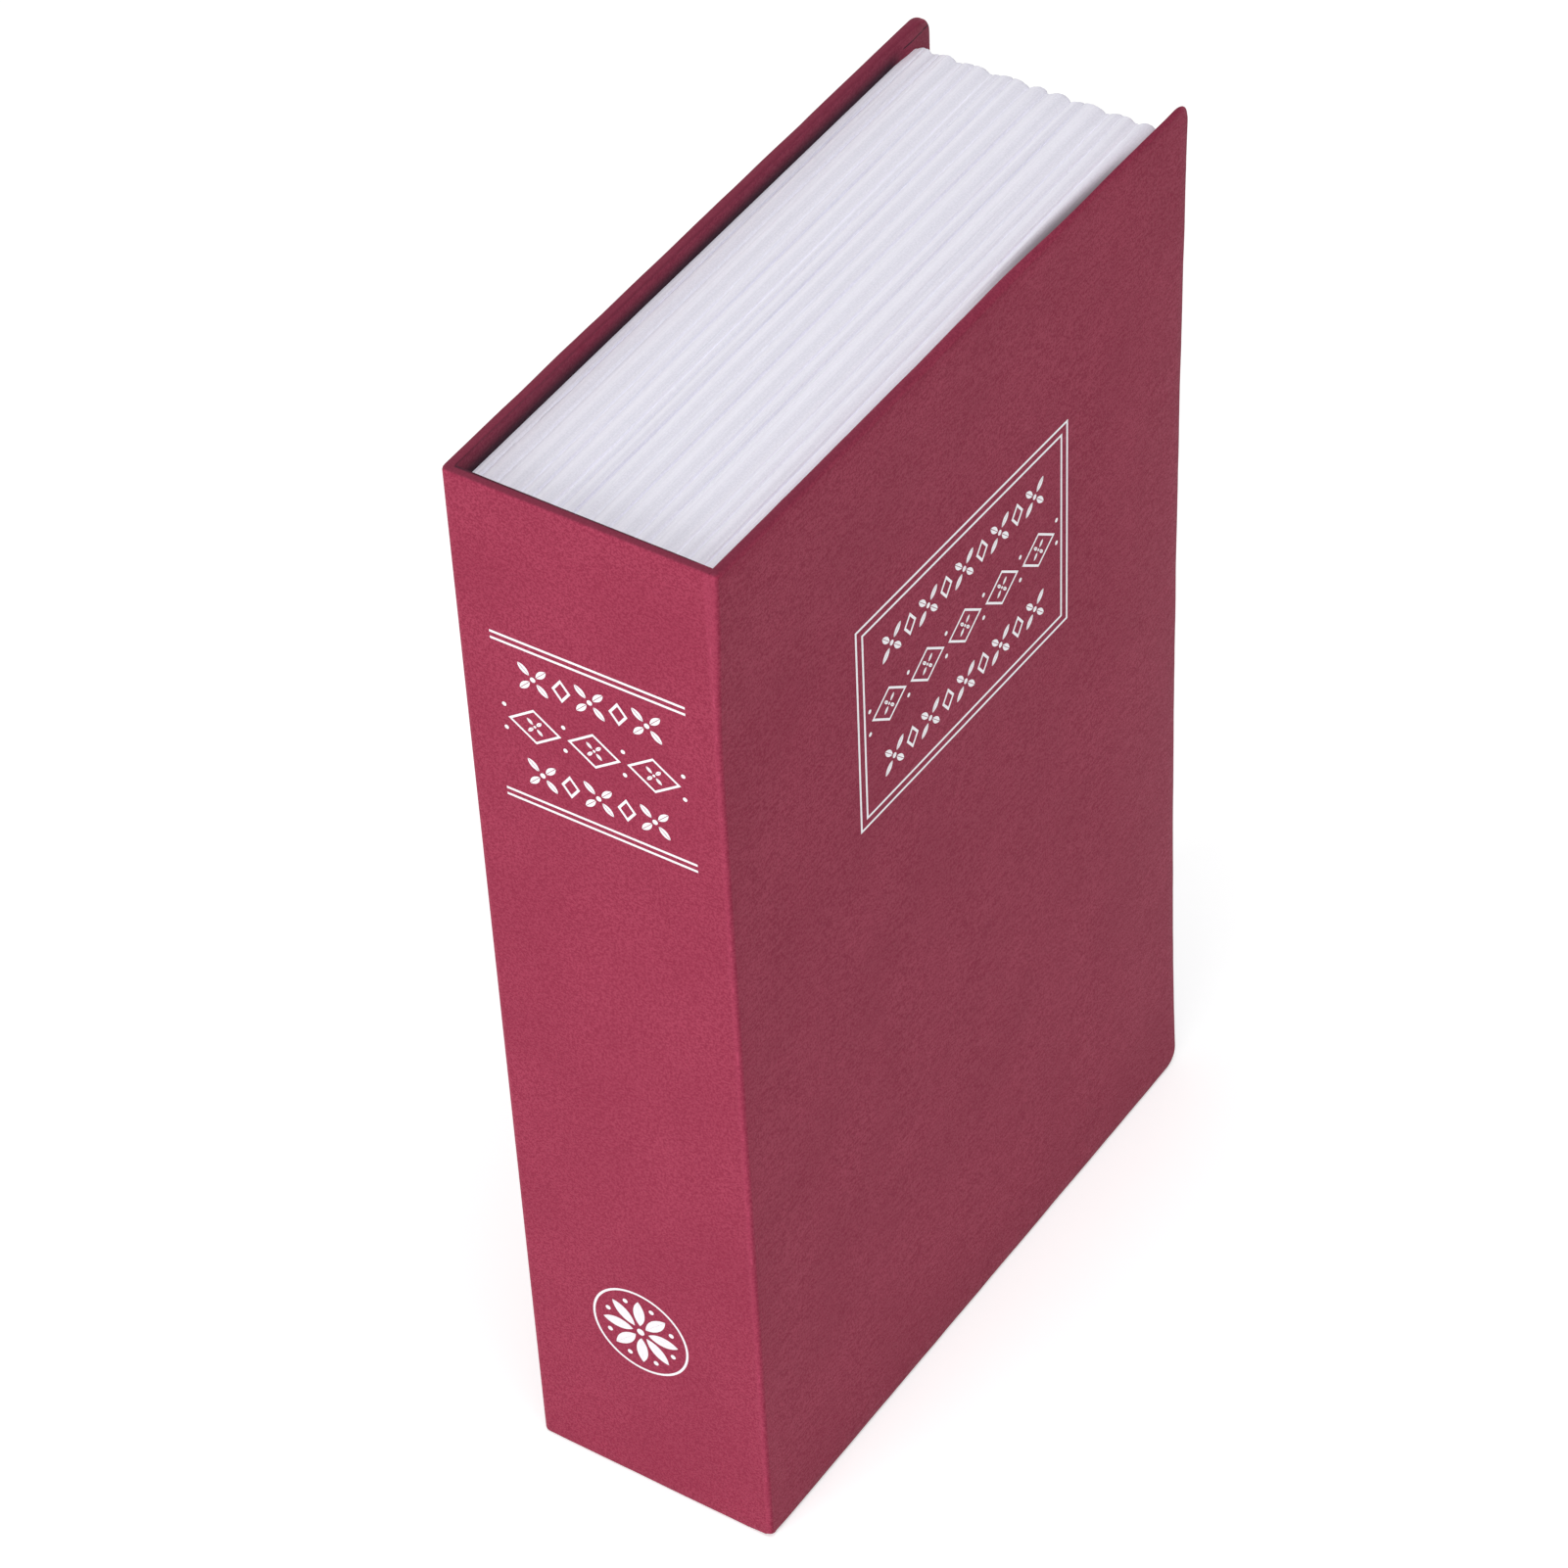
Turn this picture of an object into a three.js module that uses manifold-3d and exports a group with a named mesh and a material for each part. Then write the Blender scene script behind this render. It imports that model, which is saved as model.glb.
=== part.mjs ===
// A book diversion safe: a hardback case round a block of moulded page edges, with a
// lidded steel box let into the block under the front cover.
//
// Millimetres, +Z up. The book stands on its tail, the spine faces -Y and the front cover
// faces +X. The origin is the centre of the footprint, on the surface it stands on.
import * as THREE from 'three';
import { mergeVertices } from 'three/addons/utils/BufferGeometryUtils.js';
import Module from 'manifold-3d';

const wasm = await Module();
wasm.setup();

// Case: three boards in one wrap of leather-grained paper
const caseHeight = 240;
const caseDepth = 148;
const caseThickness = 52.6;
const coverRise = 2.9;
const boardThickness = 1.3;
const boardSoftening = 0.5;
const boardCornerRadius = 4.2;
const wrapThickness = 0.3;
const wrapSoftening = 0.6;
const cornerRoll = 1.6;
const foldInset = 0.2;
const foldDepth = 0.9;
const boardGap = 0.35;
const turnInWidth = 15;
const endpaperThickness = 0.2;
const endpaperInset = 1.2;

// Page block: one moulding with the leaves ribbed into its outer faces
const headSquare = 4.5;
const foreEdgeSquare = 4.5;
const leafSwell = 0.8;
const leafCornerRadius = 2.2;
const pageWall = 2;
const collarWall = 1.6;
const ledgeThickness = 2;
const bundleCount = 13;
const bundleWidthSwing = 0.28;
const bundleCrestSwing = 0.25;
const bundleWidthStep = 2.4;
const bundleCrestStep = 1.7;

// Steel box, set in from the page block's outside by a margin on each side
const boxEndMargin = 14.7;
const boxForeMargin = 13.7;
const boxSpineMargin = 13.55;
const boxSheet = 0.8;
const boxCornerRadius = 2;
const rimWidth = 6.5;
const rimCornerRadius = 3;

// Lid
const lidSheet = 1;
const lidRecess = 1.9;
const lidCornerRadius = 3;
const hemWidth = 5;

// Hinge of the lid
const hingeEndMargin = 10;
const knuckleCount = 5;
const barrelRadius = 2;
const pinRadius = 1;
const pinHead = 0.8;
const leafThickness = 1;
const boxLeafWidth = 15;
const lidLeafWidth = 14;
const swingRoom = 3.6;
const hingeRivetCount = 4;
const hingeRivetInset = 9;

// Rivets
const hingeRivetRadius = 1.2;
const hingeRivetHeadRadius = 2.2;
const hingeRivetHeadHeight = 0.8;
const blindRivetRadius = 1.6;
const blindRivetHeadRadius = 3.2;
const blindRivetHeadHeight = 1;
const blindRivetBulbRadius = 2.4;
const blindRivetBulbLength = 3;
const blindRivetSpacing = 70;

// Cam lock
const lockInset = 15;
const lockHeadRadius = 9.5;
const lockHeadThickness = 1.3;
const barrelOuterRadius = 7.9;
const barrelAcrossFlats = 14.4;
const barrelLength = 14;
const plugRadius = 5.2;
const plugFaceRadius = 6.4;
const plugFaceThickness = 1;
const plugSink = 0.15;
const plugTailWidth = 5;
const keywayWidth = 2;
const keywayHeight = 7;
const keywayFloor = 3;
const waferCount = 4;
const waferThickness = 1;
const waferPitch = 2.3;
const waferWidth = 6;
const waferTravel = 0.7;
const waferWindowHeight = 5.4;
const waferMargin = 0.1;
const washerThickness = 0.6;
const washerRadius = 10.4;
const nutAcrossFlats = 20;
const nutThickness = 3.5;
const camThickness = 1.6;
const camWidth = 9;
const camHubRadius = 6.5;
const camTipGap = 0.8;
const camScrewRadius = 1.4;
const camScrewLength = 4.5;
const camScrewHeadRadius = 3;
const camScrewHeadHeight = 1.8;
const screwSlotWidth = 0.8;
const screwSlotDepth = 0.7;

// Keeper that the cam turns under
const keeperSheet = 1.2;
const keeperLip = 5;
const keeperHeight = 26;
const keeperFoot = 8;

// Clearances
const glueLine = 0.05;
const coverClearance = 0.25;
const boxFit = 0.3;
const lidRestGap = 0.2;
const lidEdgeGap = 0.6;
const knuckleGap = 0.3;
const pinPlay = 0.06;
const holePlay = 0.15;
const plugPlay = 0.12;
const waferPlay = 0.1;
const camPlay = 0.2;
const keeperGap = 0.5;
const overrun = 1;
const weldTolerance = 1e-5;

// Fineness of the round stretches
const filletSteps = 2;
const cornerSteps = 4;
const rollSteps = 6;
const roundSteps = 24;
const rivetSteps = 12;

// Case, worked out
const caseFaceX = caseThickness / 2;
const caseForeY = caseDepth / 2;
const caseSpineY = -caseForeY;
const boardOuterX = caseFaceX - wrapThickness - glueLine;
const boardInnerX = boardOuterX - boardThickness;
const turnInX = boardInnerX - glueLine - wrapThickness;
const endpaperOuterX = turnInX - glueLine;
const endpaperInnerX = endpaperOuterX - endpaperThickness;
const rollCentreY = caseSpineY + cornerRoll;
const coverStartY = rollCentreY + glueLine;
const spineBoardInnerY = caseSpineY + wrapThickness + glueLine + boardThickness;
const spineTurnInY = spineBoardInnerY + glueLine + wrapThickness;
const spineBoardHalf = turnInX - boardGap;
const spineEndX = spineBoardHalf + glueLine;
const midHeight = caseHeight / 2;

// The joint's stiff paper holds the closed front cover a little off the block, so that the
// cover stands out by coverRise at its fore edge. It turns about the fold's axis.
const foldX = caseFaceX - foldInset;
const foldY = caseSpineY + foldDepth;
const coverLean = Math.asin(coverRise / (caseForeY - foldY));

// Page block, worked out
const pageFrontX = endpaperInnerX - coverClearance;
const pageBackX = -(endpaperInnerX - glueLine);
const pageSpineY = spineTurnInY + glueLine;
const pageForeY = caseForeY - foreEdgeSquare;
const pageTopZ = caseHeight - headSquare;
const pageBottomZ = headSquare;

// Box and lid, worked out. Levels run down from the front of the page block.
const lidTopX = pageFrontX - lidRecess;
const lidUnderX = lidTopX - lidSheet;
const hemUnderX = lidUnderX - lidSheet;
const rimTopX = hemUnderX - lidRestGap;
const rimUnderX = rimTopX - boxSheet;
const ledgeX = rimUnderX - glueLine;
const boxBackX = pageBackX + glueLine;
const boxFloorX = boxBackX + boxSheet;
const boxForeY = pageForeY - boxForeMargin;
const boxForeInnerY = boxForeY - boxSheet;
const boxSpineY = pageSpineY + boxSpineMargin;
const boxSpineInnerY = boxSpineY + boxSheet;
const boxTopZ = pageTopZ - boxEndMargin;
const boxBottomZ = pageBottomZ + boxEndMargin;
const boxTopInnerZ = boxTopZ - boxSheet;
const boxBottomInnerZ = boxBottomZ + boxSheet;

// Hinge of the lid, worked out
const hingeX = lidUnderX - leafThickness / 2;
const hingeY = boxSpineY - glueLine - leafThickness / 2;
const hingeBottomZ = boxBottomInnerZ + hingeEndMargin;
const hingeLength = boxTopInnerZ - hingeEndMargin - hingeBottomZ;
const knuckleLength = hingeLength / knuckleCount;
const barrelClearRadius = barrelRadius + knuckleGap;
const pocketSpineY = hingeY - swingRoom;
const pocketForeY = boxForeY + rimWidth + boxFit;
const pocketTopZ = boxTopZ + rimWidth + boxFit;
const pocketBottomZ = boxBottomZ - rimWidth - boxFit;

// Lock, worked out. Its own frame has +X out of the lid and x = 0 on the lid's top.
const lockY = boxForeInnerY - lockInset;
const lockEndX = -barrelLength;
const camTopX = lockEndX - camPlay;
const camUnderX = camTopX - camThickness;
const camReach = lockInset - camTipGap;
const boreRadius = plugRadius + plugPlay;
const grooveReach = plugRadius + waferTravel + waferPlay * 2;

// Solids

/** The manifold solid of a closed three.js geometry. */
function solid(geometry) {
  const bare = geometry.clone();
  bare.deleteAttribute('normal');
  bare.deleteAttribute('uv');
  const merged = mergeVertices(bare, weldTolerance);
  const corners = merged.index.array;
  const triangles = [];
  for (let i = 0; i < corners.length; i += 3) {
    const [a, b, c] = [corners[i], corners[i + 1], corners[i + 2]];
    if (a !== b && b !== c && c !== a) triangles.push(a, b, c);
  }
  return new wasm.Manifold(
    new wasm.Mesh({
      numProp: 3,
      vertProperties: merged.attributes.position.array,
      triVerts: new Uint32Array(triangles),
    }),
  );
}

/** The three.js geometry of a manifold solid. */
function geometryOf(body) {
  const mesh = body.getMesh();
  const geometry = new THREE.BufferGeometry();
  geometry.setAttribute('position', new THREE.BufferAttribute(new Float32Array(mesh.vertProperties), 3));
  geometry.setIndex(new THREE.BufferAttribute(new Uint32Array(mesh.triVerts), 1));
  geometry.computeVertexNormals();
  return geometry;
}

/** All of the solids as one. */
function joined(bodies) {
  return bodies.reduce((whole, body) => whole.add(body));
}

/** A block between two values on each axis. */
function block(x0, x1, y0, y1, z0, z1) {
  const geometry = new THREE.BoxGeometry(x1 - x0, y1 - y0, z1 - z0);
  geometry.translate((x0 + x1) / 2, (y0 + y1) / 2, (z0 + z1) / 2);
  return solid(geometry);
}

// Turns a shape drawn in Y and Z, and extruded along its own Z, to run along +X.
const alongX = new THREE.Matrix4().set(0, 0, 1, 0, 1, 0, 0, 0, 0, 1, 0, 0, 0, 0, 0, 1);
// Turns a lathe's axis from +Y to +X.
const latheToX = new THREE.Matrix4().set(0, 1, 0, 0, 0, 0, 1, 0, 1, 0, 0, 0, 0, 0, 0, 1);

/** A rectangle in Y and Z, whose corners have their own radii: [low Y, high Y] ends. */
function sheetOutline(y0, y1, z0, z1, lowRadius, highRadius) {
  const shape = new THREE.Shape();
  const quarter = Math.PI / 2;
  shape.moveTo(y0 + lowRadius, z0);
  shape.lineTo(y1 - highRadius, z0);
  if (highRadius) shape.absarc(y1 - highRadius, z0 + highRadius, highRadius, -quarter, 0);
  shape.lineTo(y1, z1 - highRadius);
  if (highRadius) shape.absarc(y1 - highRadius, z1 - highRadius, highRadius, 0, quarter);
  shape.lineTo(y0 + lowRadius, z1);
  if (lowRadius) shape.absarc(y0 + lowRadius, z1 - lowRadius, lowRadius, quarter, Math.PI);
  shape.lineTo(y0, z0 + lowRadius);
  if (lowRadius) shape.absarc(y0 + lowRadius, z0 + lowRadius, lowRadius, Math.PI, Math.PI + quarter);
  return shape;
}

/** A Y-Z outline made solid from x0 to x1, its edges rounded by softening. */
function slab(shape, x0, x1, softening = 0, steps = cornerSteps) {
  const geometry = new THREE.ExtrudeGeometry(shape, {
    depth: x1 - x0 - softening * 2,
    curveSegments: steps,
    bevelEnabled: softening > 0,
    bevelThickness: softening,
    bevelSize: softening,
    bevelOffset: -softening,
    bevelSegments: filletSteps,
  });
  geometry.translate(0, 0, x0 + softening);
  geometry.applyMatrix4(alongX);
  return solid(geometry);
}

/** An X-Y outline made solid from z0 to z1. */
function bar(shape, z0, z1, steps = cornerSteps) {
  const geometry = new THREE.ExtrudeGeometry(shape, {
    depth: z1 - z0,
    curveSegments: steps,
    bevelEnabled: false,
  });
  geometry.translate(0, 0, z0);
  return solid(geometry);
}

/** A turned solid on the X axis, from [radius, x] points that start and end on the axis. */
function turned(points, steps = roundSteps) {
  const profile = points.map(([radius, x]) => new THREE.Vector2(radius, x));
  const geometry = new THREE.LatheGeometry(profile, steps);
  geometry.applyMatrix4(latheToX);
  return solid(geometry);
}

/** A round bar on the X axis from x0 to x1. */
function roundBar(radius, x0, x1, steps = roundSteps) {
  return turned([[0, x0], [radius, x0], [radius, x1], [0, x1]], steps);
}

/** The least radius that keeps a faceted hole clear of a round of this radius. */
function clearHole(radius, steps = roundSteps) {
  return radius / Math.cos(Math.PI / steps);
}

/** A prism with even sides on the X axis, such as a nut. */
function evenPrism(sides, acrossFlats, x0, x1) {
  return roundBar(acrossFlats / 2 / Math.cos(Math.PI / sides), x0, x1, sides);
}

/** A domed rivet on the X axis. Its head lies on x = 0, and its shank runs to x = -grip. */
function rivet(radius, headRadius, headHeight, grip, tailRadius, tailLength) {
  const rim = headHeight / 2;
  const shoulder = headRadius - rim;
  return turned(
    [
      [0, -grip - tailLength],
      [tailRadius - tailRadius / 4, -grip - tailLength],
      [tailRadius, -grip - tailLength / 2],
      [tailRadius, -grip],
      [radius, -grip],
      [radius, 0],
      [headRadius, 0],
      [headRadius - rim / 4, rim],
      [shoulder, headHeight],
      [0, headHeight],
    ],
    rivetSteps,
  );
}

// Case

/** A slab of a cover's outline, open at its hinge side, from x0 to x1 and margin smaller. */
function coverSlab(x0, x1, margin, cornerRadius, softening) {
  const long = slab(
    sheetOutline(
      coverStartY - overrun * 2, caseForeY - margin, margin, caseHeight - margin, 0, cornerRadius,
    ),
    x0, x1, softening,
  );
  return long.subtract(block(
    x0 - overrun, x1 + overrun,
    coverStartY - overrun * 3, coverStartY,
    -overrun, caseHeight + overrun,
  ));
}

/** The wrap of one cover: its outer face, its three edges and the turn-ins behind them. */
function coverWrap() {
  const outer = coverSlab(
    turnInX, caseFaceX, 0, boardCornerRadius + wrapThickness, wrapSoftening,
  );
  const core = slab(
    sheetOutline(
      coverStartY - overrun, caseForeY - wrapThickness,
      wrapThickness, caseHeight - wrapThickness, 0, boardCornerRadius,
    ),
    boardInnerX - glueLine, boardOuterX + glueLine, boardSoftening,
  );
  const window = block(
    turnInX - overrun, boardInnerX,
    coverStartY - overrun, caseForeY - turnInWidth,
    turnInWidth, caseHeight - turnInWidth,
  );
  return outer.subtract(core).subtract(window);
}

/** The board of one cover, its edges eased to sit inside the wrap's folds. */
function coverBoard() {
  const margin = wrapThickness + glueLine;
  return coverSlab(boardInnerX, boardOuterX, margin, boardCornerRadius - glueLine, boardSoftening);
}

/** The spine wrap's outline in X and Y, rolled at the corner towards the back cover. */
function spineOutline() {
  const shape = new THREE.Shape();
  shape.moveTo(caseFaceX - cornerRoll, caseSpineY);
  shape.lineTo(caseFaceX - cornerRoll, caseSpineY + wrapThickness);
  shape.lineTo(spineEndX, caseSpineY + wrapThickness);
  shape.lineTo(spineEndX, spineTurnInY);
  shape.lineTo(-spineEndX, spineTurnInY);
  shape.lineTo(-spineEndX, rollCentreY);
  shape.absarc(-caseFaceX + cornerRoll, rollCentreY, cornerRoll, Math.PI, Math.PI * 1.5);
  return shape;
}

/** The hollow under the roll between the spine and the back cover. */
function rollHollow() {
  const shape = new THREE.Shape();
  shape.moveTo(-spineBoardHalf, caseSpineY + wrapThickness);
  shape.lineTo(-spineBoardHalf, rollCentreY + overrun);
  shape.lineTo(-caseFaceX + wrapThickness, rollCentreY + overrun);
  shape.absarc(
    -caseFaceX + cornerRoll, rollCentreY, cornerRoll - wrapThickness, Math.PI, Math.PI * 1.5,
  );
  return bar(shape, wrapThickness, caseHeight - wrapThickness, rollSteps);
}

/** The spine's wrap: its outer face, the roll to the back cover, and the turn-ins. */
function spineWrap() {
  const boardRoom = block(
    -spineEndX, caseFaceX,
    caseSpineY + wrapThickness, spineBoardInnerY + glueLine,
    wrapThickness, caseHeight - wrapThickness,
  );
  const window = block(
    -caseFaceX, caseFaceX,
    spineBoardInnerY, spineTurnInY + overrun,
    turnInWidth, caseHeight - turnInWidth,
  );
  return bar(spineOutline(), 0, caseHeight, rollSteps)
    .subtract(boardRoom)
    .subtract(rollHollow())
    .subtract(window);
}

/** The board in the spine, between the two cover boards. */
function spineBoard() {
  const margin = wrapThickness + glueLine;
  return block(
    -spineBoardHalf, spineBoardHalf,
    caseSpineY + margin, spineBoardInnerY, margin, caseHeight - margin,
  );
}

/** The bare stretch of wrap that bends when the front cover opens, closed at head and tail. */
function hingeStrip() {
  const centreX = caseFaceX - cornerRoll + glueLine;
  const centreY = rollCentreY - glueLine;
  const sector = (radius) => {
    const shape = new THREE.Shape();
    shape.moveTo(centreX, centreY);
    shape.absarc(centreX, centreY, radius, -Math.PI / 2, 0);
    return shape;
  };
  const outer = cornerRoll - glueLine;
  const hollow = bar(
    sector(outer - wrapThickness), wrapThickness, caseHeight - wrapThickness, rollSteps,
  );
  return bar(sector(outer), 0, caseHeight, rollSteps).subtract(hollow);
}

/** A solid of the front cover, drawn parallel to the block, leaning as the closed cover does. */
function leaning(body) {
  return body
    .translate([-foldX, -foldY, 0])
    .rotate([0, 0, THREE.MathUtils.radToDeg(-coverLean)])
    .translate([foldX, foldY, 0]);
}

/** An endpaper, pasted over the turn-ins inside one cover and a little smaller than the pages. */
function endpaper() {
  const outline = sheetOutline(
    pageSpineY + endpaperInset, pageForeY - endpaperInset,
    pageBottomZ + endpaperInset, pageTopZ - endpaperInset, 0, 0,
  );
  return slab(outline, endpaperInnerX, endpaperOuterX);
}

// Page block

/** How far the leaves stand out at each level of the block, as [x, outset] from back to front. */
function leafProfile() {
  const stationShares = [0, 0.15, 0.5, 0.85];
  const outsetShares = [0, 0.72, 1, 0.72];
  const widths = [];
  for (let i = 0; i < bundleCount; i += 1) {
    widths.push(1 + bundleWidthSwing * Math.sin(i * bundleWidthStep));
  }
  const scale = (pageFrontX - pageBackX) / widths.reduce((sum, width) => sum + width);
  const levels = [];
  let x = pageBackX;
  widths.forEach((width, i) => {
    const crest = leafSwell * (1 - bundleCrestSwing * (1 + Math.cos(i * bundleCrestStep)) / 2);
    stationShares.forEach((share, k) => {
      levels.push([x + share * width * scale, crest * outsetShares[k]]);
    });
    x += width * scale;
  });
  levels.push([pageFrontX, 0]);
  return levels;
}

/** The block's outline at one level, in Y and Z, square at the spine and rounded in front. */
function leafRing(outset) {
  const back = leafSwell - outset;
  const ring = [[pageSpineY, pageBottomZ + back]];
  const corners = [[pageBottomZ + back, 1], [pageTopZ - back, -1]];
  corners.forEach(([z, side]) => {
    const centreY = pageForeY - back - leafCornerRadius;
    const centreZ = z + side * leafCornerRadius;
    for (let step = 0; step <= cornerSteps; step += 1) {
      const turn = (Math.PI / 2) * (step / cornerSteps);
      const angle = side > 0 ? -Math.PI / 2 + turn : turn;
      ring.push([
        centreY + leafCornerRadius * Math.cos(angle),
        centreZ + leafCornerRadius * Math.sin(angle),
      ]);
    }
  });
  ring.push([pageSpineY, pageTopZ - back]);
  return ring;
}

/** The ribbed block as a full solid, before anything is cut out of it. */
function leafBlock() {
  const rings = leafProfile().map(([x, outset]) => leafRing(outset).map(([y, z]) => [x, y, z]));
  const count = rings[0].length;
  const index = [];
  for (let level = 0; level < rings.length - 1; level += 1) {
    for (let i = 0; i < count; i += 1) {
      const a = level * count + i;
      const b = level * count + ((i + 1) % count);
      index.push(a, b, b + count, a, b + count, a + count);
    }
  }
  const last = (rings.length - 1) * count;
  for (let i = 1; i < count - 1; i += 1) {
    index.push(0, i + 1, i);
    index.push(last, last + i, last + i + 1);
  }
  const geometry = new THREE.BufferGeometry();
  geometry.setAttribute('position', new THREE.Float32BufferAttribute(rings.flat(2), 3));
  geometry.setIndex(index);
  return solid(geometry);
}

/** Where the blind rivets go, as [y, z, side], side +1 at the head and -1 at the tail. */
function blindRivetPlaces() {
  const midY = (boxForeY + boxSpineY) / 2;
  const places = [];
  [1, -1].forEach((side) => {
    const z = side > 0 ? boxTopInnerZ : boxBottomInnerZ;
    [-1, 1].forEach((end) => places.push([midY + (end * blindRivetSpacing) / 2, z, side]));
  });
  return places;
}

/** Bars that cut the holes for the blind rivets. */
function blindRivetHoles() {
  const radius = clearHole(blindRivetRadius + holePlay, rivetSteps);
  const reach = boxSheet + boxFit + collarWall + overrun;
  return joined(blindRivetPlaces().map(([y, z, side]) => (
    roundBar(radius, -overrun, reach, rivetSteps).rotate([0, -90 * side, 0]).translate([0, y, z])
  )));
}

/** The moulding: ribbed walls, a front face with a sunk ledge, and a collar round the box. */
function pageFrame() {
  const holeForeY = boxForeY + boxFit;
  const holeTopZ = boxTopZ + boxFit;
  const holeBottomZ = boxBottomZ - boxFit;
  const through = block(
    pageBackX - overrun, pageFrontX + overrun,
    pocketSpineY, holeForeY, holeBottomZ, holeTopZ,
  );
  const pocket = slab(
    sheetOutline(
      pocketSpineY, pocketForeY, pocketBottomZ, pocketTopZ, 0, rimCornerRadius,
    ),
    ledgeX, pageFrontX + overrun,
  );
  const wall = leafSwell + pageWall;
  const channelX = ledgeX - ledgeThickness;
  const spineChannelY = pageSpineY + pageWall;
  const foreChannelY = pageForeY - wall;
  const channels = [
    block(
      pageBackX - overrun, channelX, spineChannelY, foreChannelY,
      holeTopZ + collarWall, pageTopZ - wall,
    ),
    block(
      pageBackX - overrun, channelX, spineChannelY, foreChannelY,
      pageBottomZ + wall, holeBottomZ - collarWall,
    ),
    block(
      pageBackX - overrun, channelX, holeForeY + collarWall, foreChannelY,
      holeBottomZ, holeTopZ,
    ),
    block(
      pageBackX - overrun, channelX, spineChannelY, pocketSpineY - collarWall,
      holeBottomZ, holeTopZ,
    ),
  ];
  return leafBlock()
    .subtract(through)
    .subtract(pocket)
    .subtract(joined(channels))
    .subtract(blindRivetHoles());
}

// Steel box

/** Where the hinge's rivets go along the book's height. */
function hingeRivetHeights() {
  const heights = [];
  for (let i = 0; i < hingeRivetCount; i += 1) {
    heights.push(hingeBottomZ + (hingeLength * (i + 1 / 2)) / hingeRivetCount);
  }
  return heights;
}

/** Bars along Y that cut the holes for the rivets of the hinge's box leaf. */
function boxLeafHoles() {
  const radius = clearHole(hingeRivetRadius + holePlay, rivetSteps);
  return joined(hingeRivetHeights().map((z) => (
    roundBar(radius, -overrun * 3, overrun, rivetSteps)
      .rotate([0, 0, 90])
      .translate([hingeX - hingeRivetInset, boxSpineInnerY, z])
  )));
}

/** The box's outline in Y and Z, its corners rounded. */
function boxOutline() {
  return sheetOutline(
    boxSpineY, boxForeY, boxBottomZ, boxTopZ, boxCornerRadius, boxCornerRadius,
  );
}

/** The box's floor, the plate that the walls are welded to. */
function boxFloor() {
  return slab(boxOutline(), boxBackX, boxFloorX);
}

/** The box's four walls, and a rim turned out on three sides. */
function boxWalls() {
  const shell = slab(boxOutline(), boxFloorX + glueLine, rimTopX);
  const rim = slab(
    sheetOutline(
      boxSpineY + barrelRadius * 2, boxForeY + rimWidth,
      boxBottomZ - rimWidth, boxTopZ + rimWidth, 0, rimCornerRadius,
    ),
    rimUnderX, rimTopX,
  );
  const innerRadius = boxCornerRadius - boxSheet;
  const hollow = slab(
    sheetOutline(
      boxSpineInnerY, boxForeInnerY, boxBottomInnerZ, boxTopInnerZ, innerRadius, innerRadius,
    ),
    boxBackX, rimTopX + overrun,
  );
  const hingeNotch = block(
    hingeX - barrelClearRadius, rimTopX + overrun,
    boxSpineY - overrun, hingeY + barrelClearRadius,
    boxBottomZ - overrun, boxTopZ + overrun,
  );
  return shell
    .add(rim)
    .subtract(hollow)
    .subtract(hingeNotch)
    .subtract(boxLeafHoles())
    .subtract(blindRivetHoles());
}

/** The blind rivets that hold the box in the moulding's collar. */
function boxRivets() {
  const grip = boxSheet + boxFit + collarWall + glueLine * 2;
  const one = rivet(
    blindRivetRadius, blindRivetHeadRadius, blindRivetHeadHeight,
    grip, blindRivetBulbRadius, blindRivetBulbLength,
  );
  return blindRivetPlaces().map(([y, z, side]) => (
    one.rotate([0, 90 * side, 0]).translate([0, y, z - side * glueLine])
  ));
}

/** The keeper: a foot on the box's fore wall and a lip that stands in over the cam. */
function latchKeeper() {
  const lipUnderX = lidTopX + camTopX + keeperGap;
  const wallY = boxForeInnerY - glueLine;
  const low = midHeight - keeperHeight / 2;
  const high = midHeight + keeperHeight / 2;
  const foot = block(
    lipUnderX, lipUnderX + keeperFoot, wallY - keeperSheet, wallY, low, high,
  );
  const lip = block(
    lipUnderX, lipUnderX + keeperSheet, wallY - keeperLip, wallY, low, high,
  );
  return foot.add(lip);
}

// Hinge of the lid, in a frame whose Z axis is the pin's, with z = 0 at its lower end

/** A round bar along Z on the hinge's own axis. */
function hingeRound(radius, z0, z1) {
  const circle = new THREE.Shape();
  circle.absarc(0, 0, radius, 0, Math.PI * 2);
  return bar(circle, z0, z1, roundSteps / 2);
}

/** One leaf's knuckles: every second one of the barrel, from the first or the second. */
function knuckles(first, plate) {
  const parts = [];
  for (let i = first; i < knuckleCount; i += 2) {
    const z0 = i * knuckleLength + knuckleGap / 2;
    const z1 = (i + 1) * knuckleLength - knuckleGap / 2;
    parts.push(hingeRound(barrelRadius, z0, z1).add(plate(z0, z1)));
  }
  return joined(parts);
}

/** The pin's bore through a leaf's knuckles. */
function pinBore() {
  const radius = clearHole(pinRadius + pinPlay);
  return hingeRound(radius, -overrun, hingeLength + overrun);
}

/** The leaf on the box's spine wall, hanging down from the barrel. */
function boxHingeLeaf() {
  const half = leafThickness / 2;
  const plate = block(-boxLeafWidth, -barrelClearRadius, -half, half, 0, hingeLength);
  const tongues = knuckles(0, (z0, z1) => block(-barrelClearRadius - half, 0, -half, half, z0, z1));
  const radius = clearHole(hingeRivetRadius + holePlay, rivetSteps);
  const holes = joined(hingeRivetHeights().map((z) => (
    roundBar(radius, -overrun, overrun, rivetSteps)
      .rotate([0, 0, 90])
      .translate([-hingeRivetInset, 0, z - hingeBottomZ])
  )));
  return plate.add(tongues).subtract(pinBore()).subtract(holes);
}

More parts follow.
